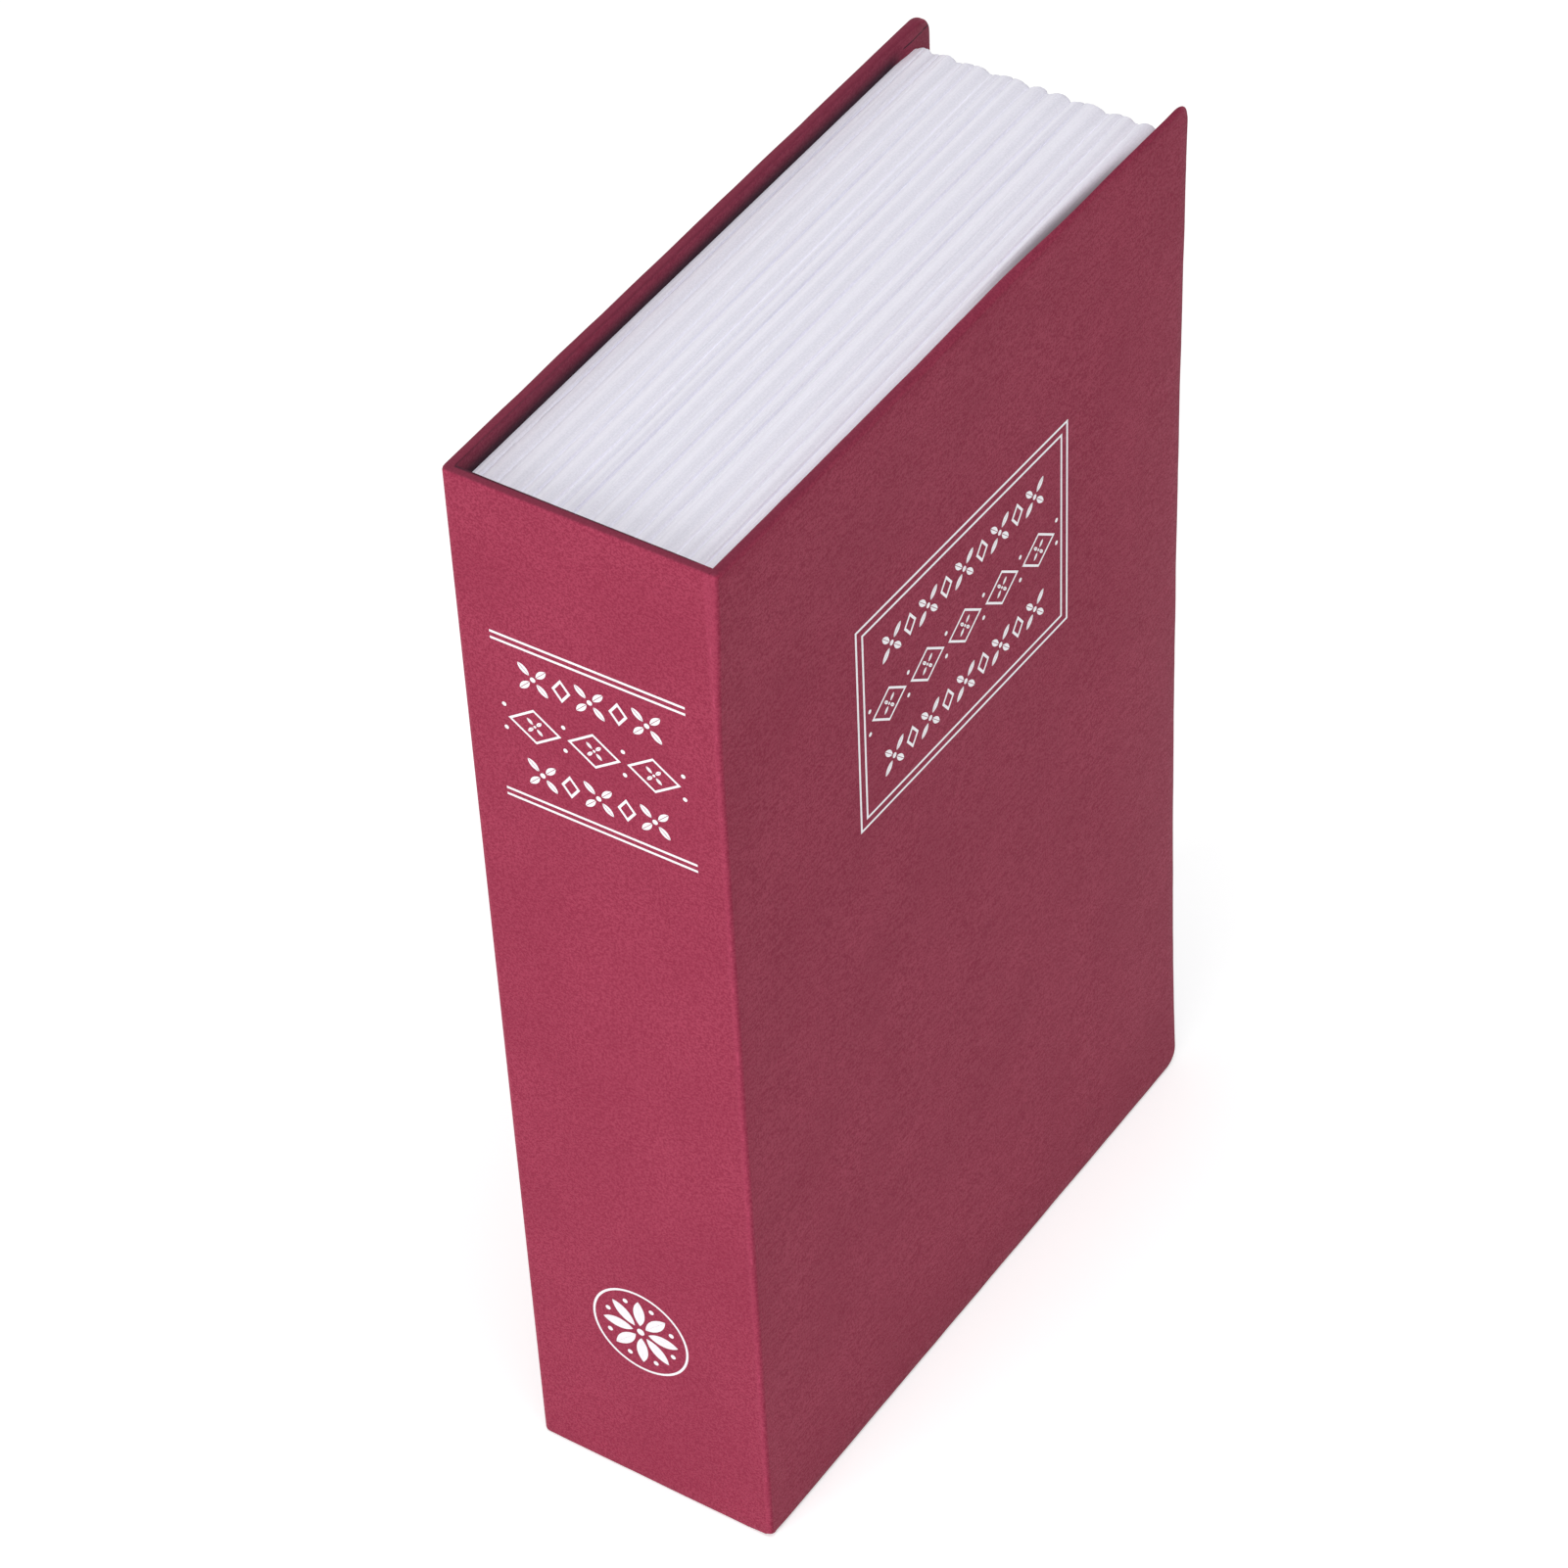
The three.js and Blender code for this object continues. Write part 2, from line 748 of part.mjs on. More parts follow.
/** The leaf under the lid, level with the barrel's middle. */
function lidHingeLeaf() {
  const half = leafThickness / 2;
  const top = half - glueLine;
  const plate = block(-half, top, barrelClearRadius, lidLeafWidth, 0, hingeLength);
  const tongues = knuckles(1, (z0, z1) => block(-half, top, 0, barrelClearRadius + half, z0, z1));
  const radius = clearHole(hingeRivetRadius + holePlay, rivetSteps);
  const holes = joined(hingeRivetHeights().map((z) => (
    roundBar(radius, -overrun, overrun, rivetSteps)
      .translate([0, hingeRivetInset, z - hingeBottomZ])
  )));
  return plate.add(tongues).subtract(pinBore()).subtract(holes);
}

/** The hinge's pin, headed at both ends. */
function hingePin() {
  const shank = hingeRound(pinRadius, -knuckleGap / 2, hingeLength + knuckleGap / 2);
  const headRadius = barrelRadius - knuckleGap;
  const top = hingeRound(
    headRadius, hingeLength + knuckleGap / 2 - glueLine, hingeLength + pinHead,
  );
  const foot = hingeRound(headRadius, -pinHead, -knuckleGap / 2 + glueLine);
  return shank.add(top).add(foot);
}

/** The rivets through the box's wall and the hinge's box leaf. */
function boxLeafRivets() {
  const grip = boxSheet + leafThickness + glueLine * 2;
  const one = rivet(
    hingeRivetRadius, hingeRivetHeadRadius, hingeRivetHeadHeight,
    grip, hingeRivetHeadRadius, hingeRivetHeadHeight,
  ).rotate([0, 0, 90]);
  const seatY = boxSpineInnerY - hingeY + glueLine;
  return hingeRivetHeights().map((z) => (
    one.translate([-hingeRivetInset, seatY, z - hingeBottomZ])
  ));
}

/** The rivets through the lid and the hinge's lid leaf. */
function lidLeafRivets() {
  const grip = lidSheet + leafThickness + glueLine * 2;
  const one = rivet(
    hingeRivetRadius, hingeRivetHeadRadius, hingeRivetHeadHeight,
    grip, hingeRivetHeadRadius, hingeRivetHeadHeight,
  );
  const seatX = lidTopX - hingeX + glueLine;
  return hingeRivetHeights().map((z) => (
    one.translate([seatX, hingeRivetInset, z - hingeBottomZ])
  ));
}

// Lid

/** The lid: one sheet, folded back under itself on three sides, with holes for lock and rivets. */
function lidPanel() {
  const spineY = hingeY + barrelClearRadius;
  const foreY = pocketForeY - lidEdgeGap;
  const low = pocketBottomZ + lidEdgeGap;
  const high = pocketTopZ - lidEdgeGap;
  const panel = slab(
    sheetOutline(spineY, foreY, low, high, 0, lidCornerRadius), lidUnderX, lidTopX,
  );
  const hemmed = slab(
    sheetOutline(spineY, foreY, low, high, 0, lidCornerRadius),
    hemUnderX, lidUnderX + lidSheet / 2,
  );
  const inside = block(
    hemUnderX - overrun, lidUnderX,
    spineY - overrun, foreY - hemWidth, low + hemWidth, high - hemWidth,
  );
  const lockHole = barrelSection(barrelOuterRadius + holePlay, barrelAcrossFlats + holePlay * 2,
    -lidSheet * 3, overrun).translate([lidTopX, lockY, midHeight]);
  const radius = clearHole(hingeRivetRadius + holePlay, rivetSteps);
  const rivetHoles = joined(hingeRivetHeights().map((z) => (
    roundBar(radius, -lidSheet - overrun, overrun, rivetSteps)
      .translate([lidTopX, hingeY + hingeRivetInset, z])
  )));
  return panel.add(hemmed.subtract(inside)).subtract(lockHole).subtract(rivetHoles);
}

// Lock, in its own frame: the X axis is the plug's, and x = 0 lies on the lid's top

/** A round bar with two flats, as a lock's threaded barrel has. */
function barrelSection(radius, acrossFlats, x0, x1) {
  const flats = block(x0, x1, -acrossFlats / 2, acrossFlats / 2, -radius * 2, radius * 2);
  return roundBar(radius, x0, x1).intersect(flats);
}

/** The housing: a bevelled head on the lid, and a barrel bored for the plug and the wafers. */
function lockHousing() {
  const bevel = lockHeadThickness / 2;
  const head = turned([
    [0, glueLine],
    [lockHeadRadius, glueLine],
    [lockHeadRadius, lockHeadThickness - bevel],
    [lockHeadRadius - bevel, lockHeadThickness],
    [0, lockHeadThickness],
  ], roundSteps * 2);
  const barrel = barrelSection(barrelOuterRadius, barrelAcrossFlats, lockEndX, bevel);
  const bore = roundBar(clearHole(boreRadius), lockEndX - overrun, lockHeadThickness + overrun);
  const faceSeat = roundBar(
    clearHole(plugFaceRadius + plugPlay),
    lockHeadThickness - plugSink - plugFaceThickness - plugPlay, lockHeadThickness + overrun,
  );
  const half = waferWidth / 2 + waferPlay * 2;
  const grooveX0 = lockEndX + keywayFloor / 2;
  const grooveX1 = -lidSheet / 2;
  const grooves = block(grooveX0, grooveX1, -half, half, -grooveReach, grooveReach)
    .add(block(grooveX0, grooveX1, -grooveReach, grooveReach, -half, half));
  return head.add(barrel).subtract(bore).subtract(faceSeat).subtract(grooves);
}

/** The middle of each wafer along the plug. */
function waferStations() {
  const first = lockEndX + keywayFloor + waferThickness;
  const stations = [];
  for (let i = 0; i < waferCount; i += 1) stations.push(first + i * waferPitch);
  return stations;
}

/** The plug: a round face with the keyway, slots for the wafers, and a square tail. */
function lockPlug() {
  const faceX = lockHeadThickness - plugSink;
  const body = roundBar(plugRadius, lockEndX, faceX - plugFaceThickness / 2);
  const face = roundBar(plugFaceRadius, faceX - plugFaceThickness, faceX);
  const tailHalf = plugTailWidth / 2;
  const tail = block(
    camUnderX + camPlay, lockEndX + overrun, -tailHalf, tailHalf, -tailHalf, tailHalf,
  );
  const keyway = block(
    lockEndX + keywayFloor, faceX + overrun,
    -keywayWidth / 2, keywayWidth / 2, -keywayHeight / 2, keywayHeight / 2,
  );
  const halfSlot = waferThickness / 2 + waferPlay;
  const halfWidth = waferWidth / 2 + waferPlay;
  const slots = joined(waferStations().map((x) => (
    block(x - halfSlot, x + halfSlot, -halfWidth, halfWidth, -plugRadius * 2, plugRadius * 2)
  )));
  const screwHole = roundBar(
    clearHole(camScrewRadius + holePlay, rivetSteps),
    camUnderX - overrun, camUnderX + camScrewLength + holePlay, rivetSteps,
  );
  return body.add(face).add(tail).subtract(keyway).subtract(slots).subtract(screwHole);
}

/** The wafers: flat plates with a window for the key, their ends on the plug's round. */
function lockWafers() {
  const half = waferThickness / 2;
  const round = roundBar(plugRadius - waferMargin, lockEndX, 0);
  return waferStations().map((x) => {
    const plate = block(
      x - half, x + half, -waferWidth / 2, waferWidth / 2, -plugRadius, plugRadius,
    ).intersect(round);
    const halfWindow = keywayWidth / 2 + waferPlay;
    return plate.subtract(block(
      x - overrun, x + overrun, -halfWindow, halfWindow,
      -waferWindowHeight / 2, waferWindowHeight / 2,
    ));
  });
}

/** The spring washer under the lid. */
function lockWasher() {
  const top = -lidSheet - glueLine;
  const hole = barrelSection(
    barrelOuterRadius + holePlay, barrelAcrossFlats + holePlay * 2,
    top - washerThickness - overrun, top + overrun,
  );
  return roundBar(washerRadius, top - washerThickness, top).subtract(hole);
}

/** The hexagon nut that holds the lock in the lid. */
function lockNut() {
  const top = -lidSheet - washerThickness - glueLine * 2;
  const hole = roundBar(
    clearHole(barrelOuterRadius + holePlay), top - nutThickness - overrun, top + overrun,
  );
  return evenPrism(6, nutAcrossFlats, top - nutThickness, top).subtract(hole);
}

/** The cam, drawn as it lies unlocked: its arm points down, clear of the keeper. */
function lockCam() {
  const arm = block(camUnderX, camTopX, -camWidth / 2, camWidth / 2, -camReach, 0)
    .intersect(roundBar(camReach, camUnderX - overrun, camTopX + overrun, roundSteps * 2));
  const hub = roundBar(camHubRadius, camUnderX, camTopX);
  const half = plugTailWidth / 2 + holePlay;
  const drive = block(camUnderX - overrun, camTopX + overrun, -half, half, -half, half);
  return arm.add(hub).subtract(drive);
}

/** The screw that holds the cam on the plug's tail. */
function camScrew() {
  const seat = camUnderX - glueLine;
  const body = turned(
    [
      [0, seat - camScrewHeadHeight],
      [camScrewHeadRadius - camScrewHeadHeight / 2, seat - camScrewHeadHeight],
      [camScrewHeadRadius, seat - camScrewHeadHeight / 2],
      [camScrewHeadRadius, seat],
      [camScrewRadius, seat],
      [camScrewRadius, seat + camScrewLength],
      [0, seat + camScrewLength],
    ],
    rivetSteps,
  );
  const slot = block(
    seat - camScrewHeadHeight - overrun, seat - camScrewHeadHeight + screwSlotDepth,
    -screwSlotWidth / 2, screwSlotWidth / 2, -camScrewHeadRadius * 2, camScrewHeadRadius * 2,
  );
  return body.subtract(slot);
}

// Finishes
const finishes = {
  wrap: { color: 0x8e3a50, roughness: 0.62, metalness: 0 },
  board: { color: 0x8a8274, roughness: 0.95, metalness: 0 },
  endpaper: { color: 0xe8e4da, roughness: 0.9, metalness: 0 },
  pages: { color: 0xdedde8, roughness: 0.75, metalness: 0 },
  blackSteel: { color: 0x1c1d1f, roughness: 0.5, metalness: 0.4 },
  nickel: { color: 0xc4c6c8, roughness: 0.25, metalness: 1 },
  zinc: { color: 0xa8abad, roughness: 0.45, metalness: 1 },
  brass: { color: 0xb5975a, roughness: 0.4, metalness: 1 },
};
const materials = Object.fromEntries(
  Object.entries(finishes).map(([name, look]) => [name, new THREE.MeshStandardMaterial(look)]),
);

/** A named mesh of a solid. */
function piece(name, body, finish) {
  const mesh = new THREE.Mesh(geometryOf(body), materials[finish]);
  mesh.name = name;
  return mesh;
}

/** Numbered meshes of alike solids. */
function pieces(name, bodies, finish) {
  return bodies.map((body, i) => piece(`${name}_${i + 1}`, body, finish));
}

/** A group of pieces, placed at one point. */
function assembly(members, x = 0, y = 0, z = 0) {
  const group = new THREE.Group();
  group.add(...members);
  group.position.set(x, y, z);
  return group;
}

// The covers are drawn for the front, and the back ones are their mirror images.
const toBack = [1, 0, 0];

const frontCover = assembly([
  piece('front_cover_wrap', leaning(coverWrap()), 'wrap'),
  piece('front_board', leaning(coverBoard()), 'board'),
  piece('front_endpaper', leaning(endpaper()), 'endpaper'),
]);
const fixedCase = assembly([
  piece('back_cover_wrap', coverWrap().mirror(toBack), 'wrap'),
  piece('back_board', coverBoard().mirror(toBack), 'board'),
  piece('back_endpaper', endpaper().mirror(toBack), 'endpaper'),
  piece('spine_wrap', spineWrap(), 'wrap'),
  piece('spine_board', spineBoard(), 'board'),
  piece('front_hinge_strip', hingeStrip(), 'wrap'),
]);
const blockAndBox = assembly([
  piece('page_frame', pageFrame(), 'pages'),
  piece('box_floor', boxFloor(), 'blackSteel'),
  piece('box_walls', boxWalls(), 'blackSteel'),
  ...pieces('box_rivet', boxRivets(), 'zinc'),
  piece('latch_keeper', latchKeeper(), 'zinc'),
]);
const lid = assembly([piece('lid_panel', lidPanel(), 'blackSteel')]);
const lidHinge = assembly([
  piece('box_hinge_leaf', boxHingeLeaf(), 'blackSteel'),
  ...pieces('box_hinge_rivet', boxLeafRivets(), 'zinc'),
  piece('hinge_pin', hingePin(), 'zinc'),
  piece('lid_hinge_leaf', lidHingeLeaf(), 'blackSteel'),
  ...pieces('lid_hinge_rivet', lidLeafRivets(), 'zinc'),
], hingeX, hingeY, hingeBottomZ);
const lock = assembly([
  piece('lock_housing', lockHousing(), 'nickel'),
  piece('lock_washer', lockWasher(), 'zinc'),
  piece('lock_nut', lockNut(), 'nickel'),
  piece('lock_plug', lockPlug(), 'nickel'),
  ...pieces('lock_wafer', lockWafers(), 'brass'),
  piece('lock_cam', lockCam(), 'zinc'),
  piece('cam_screw', camScrew(), 'zinc'),
], lidTopX, lockY, midHeight);

// The frame's origin is the middle of the whole footprint, the leaning cover's edge included.
const bookSafe = assembly(
  [frontCover, fixedCase, blockAndBox, lid, lidHinge, lock], -coverRise / 2,
);
export default bookSafe;
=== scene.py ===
"""A book diversion safe: a burgundy hardback with a lidded steel box behind its front cover.

Sizes in the classes are millimetres, and Blender works in metres. +Z is up, the spine faces
-Y and the front cover faces +X. The book stands on its tail.
"""

import logging
import math
from contextlib import contextmanager
from dataclasses import dataclass, field
from enum import Enum
from typing import Callable, Iterator, Sequence, Union

import bmesh
import bpy
from mathutils import Matrix, Quaternion, Vector, noise


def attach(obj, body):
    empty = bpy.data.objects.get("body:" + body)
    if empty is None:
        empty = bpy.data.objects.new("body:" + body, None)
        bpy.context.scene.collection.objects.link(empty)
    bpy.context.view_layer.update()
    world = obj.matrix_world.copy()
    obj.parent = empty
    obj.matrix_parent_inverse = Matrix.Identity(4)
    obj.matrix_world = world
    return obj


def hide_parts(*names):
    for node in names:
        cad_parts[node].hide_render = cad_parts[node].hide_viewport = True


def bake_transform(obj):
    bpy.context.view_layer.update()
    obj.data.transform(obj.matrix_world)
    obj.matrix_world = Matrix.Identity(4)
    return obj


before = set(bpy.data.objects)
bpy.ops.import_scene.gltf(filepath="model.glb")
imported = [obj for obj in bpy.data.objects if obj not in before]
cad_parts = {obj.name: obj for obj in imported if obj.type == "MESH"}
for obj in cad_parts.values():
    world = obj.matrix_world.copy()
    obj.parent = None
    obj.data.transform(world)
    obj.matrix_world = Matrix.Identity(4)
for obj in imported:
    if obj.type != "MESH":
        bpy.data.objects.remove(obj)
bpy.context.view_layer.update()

MM = 0.001
TOUCH = 0.01
HAIR = 0.0005
WELD = 0.001
ALONG = 0.99
NOISE_SEED = 1
HEIGHT = 240.0
HALF_HEIGHT = HEIGHT / 2

Socket = bpy.types.NodeSocket
Node = bpy.types.Node
Material = bpy.types.Material
Colour = tuple[float, float, float]
Place = tuple[float, float, float]
Span = tuple[float, float]
Point = Sequence[float]
Feed = Union[Socket, float, Sequence[float]]

log = logging.getLogger("book_safe")


class Pick(Enum):
    """What edit mode selects."""

    CORNER = "VERT"
    EDGE = "EDGE"
    FACE = "FACE"


class Axis(Enum):
    """The three axes, as unit directions."""

    X = (1.0, 0.0, 0.0)
    Y = (0.0, 1.0, 0.0)
    Z = (0.0, 0.0, 1.0)


@dataclass(frozen=True)
class Spot:
    """Where a corner, an edge or a face is, in millimetres, and which way it runs or faces."""

    middle: Vector
    way: Vector


Test = Callable[[Spot], bool]


def everywhere(_spot: Spot) -> bool:
    """Picks all there is."""
    return True


def fore_corner(spot: Spot) -> bool:
    """Picks the edges that run across the book at the corners of its fore edge."""
    return abs(spot.way.x) > ALONG and spot.middle.y > 0


def eased(share: float) -> float:
    """A share between 0 and 1, eased at both ends."""
    held = min(1.0, max(0.0, share))
    return held * held * (3.0 - 2.0 * held)


def eased_from(value: float, start: float, length: float) -> float:
    """How far a value is past a start, as an eased share of a length."""
    return eased((value - start) / length)


@dataclass(frozen=True)
class LeafBundles:
    """How the page block's thickness is shared out between its bundles of leaves."""

    back: float = -25.45
    front: float = 22.35
    widths: tuple[float, ...] = (
        1.35, 3.2, 4.9, 2.25, 4.0, 1.45, 2.6, 3.5, 3.6, 5.0, 2.5, 5.4, 2.4, 3.15, 2.5
    )
    splay: float = 1.4
    splay_start: float = 20.0

    def starts(self) -> list[float]:
        """Where each bundle begins, and where the last one ends."""
        scale = (self.front - self.back) / sum(self.widths)
        places = [self.back]
        for width in self.widths:
            places.append(places[-1] + width * scale)
        return places


def turned_about(centre: Point, angle: float) -> Matrix:
    """A turn in radians about an upright axis through a point."""
    place = Vector(centre) * MM
    return (
        Matrix.Translation(place) @ Matrix.Rotation(angle, 4, "Z") @ Matrix.Translation(-place)
    )


def facing_front(across: float) -> Matrix:
    """Stands a flat drawing up to face the front cover's way, this far across the book."""
    return Matrix(((0, 0, 1, across * MM), (1, 0, 0, 0), (0, 1, 0, 0), (0, 0, 0, 1)))


def select_only(*pieces: bpy.types.Object) -> None:
    """Selects these objects and nothing else, and makes the last one active."""
    bpy.ops.object.select_all(action="DESELECT")
    for piece in pieces:
        piece.select_set(True)
    bpy.context.view_layer.objects.active = pieces[-1]


class Shape:
    """A mesh that is being modelled by hand, with places and sizes in millimetres."""

    def __init__(self, name: str) -> None:
        """Takes over the object that was just added.

        Args:
            name: The piece's name.
        """
        self.piece: bpy.types.Object = bpy.context.object
        self.piece.name = name
        self.piece.data.name = name
        bpy.ops.object.transform_apply(location=True, rotation=True, scale=True)

    @classmethod
    def block(cls, name: str, low: Point, high: Point) -> "Shape":
        """Adds a cube primitive between two corners.

        Args:
            name: The piece's name.
            low: The lowest corner.
            high: The highest corner.

        Returns:
            The new shape.
        """
        lower, upper = Vector(low) * MM, Vector(high) * MM
        bpy.ops.object.select_all(action="DESELECT")
        bpy.ops.mesh.primitive_cube_add(
            size=1, location=(lower + upper) / 2, scale=upper - lower
        )
        return cls(name)

    @classmethod
    def rod(cls, name: str, radius: float, low: Point, high: Point, sides: int) -> "Shape":
        """Adds a cylinder primitive between two points.

        Args:
            name: The piece's name.
            radius: Its radius.
            low: The middle of one end.
            high: The middle of the other end.
            sides: How many sides it has.

        Returns:
            The new shape.
        """
        lower, upper = Vector(low) * MM, Vector(high) * MM
        run = upper - lower
        bpy.ops.object.select_all(action="DESELECT")
        bpy.ops.mesh.primitive_cylinder_add(
            vertices=sides,
            radius=radius * MM,
            depth=run.length,
            location=(lower + upper) / 2,
            rotation=run.to_track_quat("Z", "Y").to_euler(),
        )
        return cls(name)

    @classmethod
    def disc(cls, name: str, radius: float, sides: int, stretch: float = 1.0) -> "Shape":
        """Adds a flat disc on the origin, facing up.

        Args:
            name: The piece's name.
            radius: Its radius along its first axis.
            sides: How many sides it has.
            stretch: How much taller than wide it is.

        Returns:
            The new shape.
        """
        bpy.ops.object.select_all(action="DESELECT")
        bpy.ops.mesh.primitive_circle_add(vertices=sides, radius=radius * MM, fill_type="NGON")
        bpy.context.object.scale = (1.0, stretch, 1.0)
        return cls(name)

    @classmethod
    def sheet(cls, name: str, low: Point, high: Point) -> "Shape":
        """Adds a flat plane facing up, between two corners of its X and Y.

        Args:
            name: The piece's name.
            low: The lowest corner.
            high: The highest corner.

        Returns:
            The new shape.
        """
        (x0, y0), (x1, y1) = low, high
        bpy.ops.object.select_all(action="DESELECT")
        bpy.ops.mesh.primitive_plane_add(
            size=1,
            location=((x0 + x1) / 2 * MM, (y0 + y1) / 2 * MM, 0),
        )
        bpy.context.object.scale = ((x1 - x0) * MM, (y1 - y0) * MM, 1.0)
        return cls(name)

    @classmethod
    def copy_of_node(cls, name: str, node: str) -> "Shape":
        """Copies a CAD solid and merges its loose triangles into one skin.

        Args:
            name: The piece's name.
            node: The CAD node that it is a copy of.

        Returns:
            The new shape.
        """
        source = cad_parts[node]
        twin = bpy.data.objects.new(name, source.data.copy())
        bpy.context.scene.collection.objects.link(twin)
        select_only(twin)
        shape = cls(name)
        shape.piece.data.materials.clear()
        shape.merge()
        with shape.picked(Pick.FACE, everywhere):
            bpy.ops.mesh.dissolve_limited(angle_limit=math.radians(0.5))
        return shape

    def copy(self, name: str) -> "Shape":
        """A copy with a mesh of its own."""
        twin = self.piece.copy()
        twin.data = self.piece.data.copy()
        bpy.context.scene.collection.objects.link(twin)
        select_only(twin)
        return Shape(name)

    @contextmanager
    def picked(self, pick: Pick, test: Test) -> Iterator[None]:
        """Opens the mesh in edit mode with what passes a test selected.

        Args:
            pick: Whether corners, edges or faces are tested.
            test: Says whether a spot is selected.
        """
        select_only(self.piece)
        bpy.ops.object.mode_set(mode="EDIT")
        bpy.ops.mesh.select_mode(type=pick.value)
        bpy.ops.mesh.select_all(action="DESELECT")
        mesh = bmesh.from_edit_mesh(self.piece.data)
        if pick is Pick.CORNER:
            for corner in mesh.verts:
                corner.select = test(Spot(corner.co / MM, corner.normal))
        elif pick is Pick.EDGE:
            for edge in mesh.edges:
                first, second = (end.co for end in edge.verts)
                way = (second - first).normalized()
                edge.select = test(Spot((first + second) / 2 / MM, way))
        else:
            for face in mesh.faces:
                face.select = test(Spot(face.calc_center_median() / MM, face.normal))
        mesh.select_flush_mode()
        bmesh.update_edit_mesh(self.piece.data)
        yield
        bpy.ops.object.mode_set(mode="OBJECT")

    def bevel(self, test: Test, width: float, steps: int, pick: Pick = Pick.EDGE) -> None:
        """Rounds the picked edges or corners.

        Args:
            test: Picks them.
            width: The radius of the rounding.
            steps: Its number of segments.
            pick: Edges, or the corners of a flat sheet.
        """
        affect = "VERTICES" if pick is Pick.CORNER else "EDGES"
        with self.picked(pick, test):
            bpy.ops.mesh.bevel(
                offset=width * MM, segments=steps, affect=affect, clamp_overlap=False
            )

    def remove(self, test: Test, pick: Pick = Pick.FACE) -> None:
        """Deletes the picked faces, edges or corners."""
        with self.picked(pick, test):
            bpy.ops.mesh.delete(type=pick.value)

    def slice(self, place: Point, way: Point, clear: bool = False) -> None:
        """Bisects the whole mesh with a plane.

        Args:
            place: A point on the plane.
            way: The plane's normal.
            clear: Whether the side that the normal points to is taken away.
        """
        with self.picked(Pick.FACE, everywhere):
            bpy.ops.mesh.bisect(
                plane_co=Vector(place) * MM, plane_no=way, clear_outer=clear
            )

    def slices(self, axis: Axis, stations: Sequence[float]) -> None:
        """Bisects the whole mesh at each station along an axis."""
        for station in stations:
            self.slice(Vector(axis.value) * station, axis.value)

    def subdivide(self, test: Test, cuts: int) -> None:
        """Cuts the picked edges, and the faces between them, into equal lengths."""
        with self.picked(Pick.EDGE, test):
            bpy.ops.mesh.subdivide(number_cuts=cuts)

    def inset(self, test: Test, width: float) -> None:
        """Insets the picked faces by a width."""
        with self.picked(Pick.FACE, test):
            bpy.ops.mesh.inset(thickness=width * MM)

    def extrude(self, pick: Pick, test: Test, shift: Point) -> None:
        """Extrudes what is picked and moves the new end.

        Args:
            pick: Edges or faces.
            test: Picks them.
            shift: How far the new end moves.
        """
        with self.picked(pick, test):
            bpy.ops.mesh.extrude_region_move(
                TRANSFORM_OT_translate={"value": Vector(shift) * MM}
            )

    def spin(self, test: Test, centre: Point, axis: Axis, degrees: float, steps: int) -> None:
        """Sweeps the picked edges about an axis.

        Args:
            test: Picks the edges.
            centre: A point on the axis.
            axis: The axis.
            degrees: How far they turn.
            steps: How many stretches the sweep has.
        """
        with self.picked(Pick.EDGE, test):
            bpy.ops.mesh.spin(
                steps=steps,
                angle=math.radians(degrees),
                center=Vector(centre) * MM,
                axis=axis.value,
            )

    def merge(self) -> None:
        """Merges corners that lie on each other."""
        with self.picked(Pick.CORNER, everywhere):
            bpy.ops.mesh.remove_doubles(threshold=WELD * MM)

    def face_outwards(self) -> None:
        """Turns every face to point out of the shape."""
        with self.picked(Pick.FACE, everywhere):
            bpy.ops.mesh.normals_make_consistent(inside=False)

    def nudge(self, rule: Callable[[Vector], Vector]) -> None:
        """Moves every corner to where a rule says, as a hand would press it.

        Args:
            rule: Gives a corner's new place from its old one, in millimetres.
        """
        for corner in self.piece.data.vertices:
            corner.co = rule(corner.co / MM) * MM
        self.piece.data.update()

    def move(self, matrix: Matrix) -> None:
        """Turns and moves the mesh itself, so that the object stays at the origin."""
        self.piece.data.transform(matrix)
        self.piece.data.update()

    def apply(self, kind: str, **settings: object) -> None:
        """Adds a modifier and applies it.

        Args:
            kind: The modifier's type.
            **settings: Its settings.
        """
        bpy.context.view_layer.objects.active = self.piece
        modifier = self.piece.modifiers.new(kind.lower(), kind)
        for key, value in settings.items():
            setattr(modifier, key, value)
        bpy.ops.object.modifier_apply(modifier=modifier.name)

    def wall(self, thickness: float, offset: float = -1.0) -> None:
        """Gives an open skin its thickness, inwards unless the offset says otherwise."""
        self.apply(
            "SOLIDIFY", thickness=thickness * MM, offset=offset, use_even_offset=True
        )

    def subtract(self, *cutters: "Shape") -> None:
        """Cuts other shapes out of this one, and deletes them."""
        for cutter in cutters:
            self.apply(
                "BOOLEAN", operation="DIFFERENCE", solver="EXACT", object=cutter.piece
            )
            bpy.data.objects.remove(cutter.piece)

    def join(self, others: Sequence["Shape"]) -> None:
        """Takes other shapes into this one's mesh."""
        select_only(*(other.piece for other in others), self.piece)
        bpy.ops.object.join()

    def ease_edges(self, width: float, steps: int = 2) -> None:
        """Rounds every sharp edge a little, as a press or a deburring leaves it."""
        self.apply(
            "BEVEL",
            width=width * MM,
            segments=steps,
            limit_method="ANGLE",
            angle_limit=math.radians(40),
            harden_normals=False,
        )

    def smooth(self, degrees: float = 35.0) -> None:
        """Shades the shape smooth up to an angle between its faces."""
        select_only(self.piece)
        bpy.ops.object.shade_smooth_by_angle(angle=math.radians(degrees))

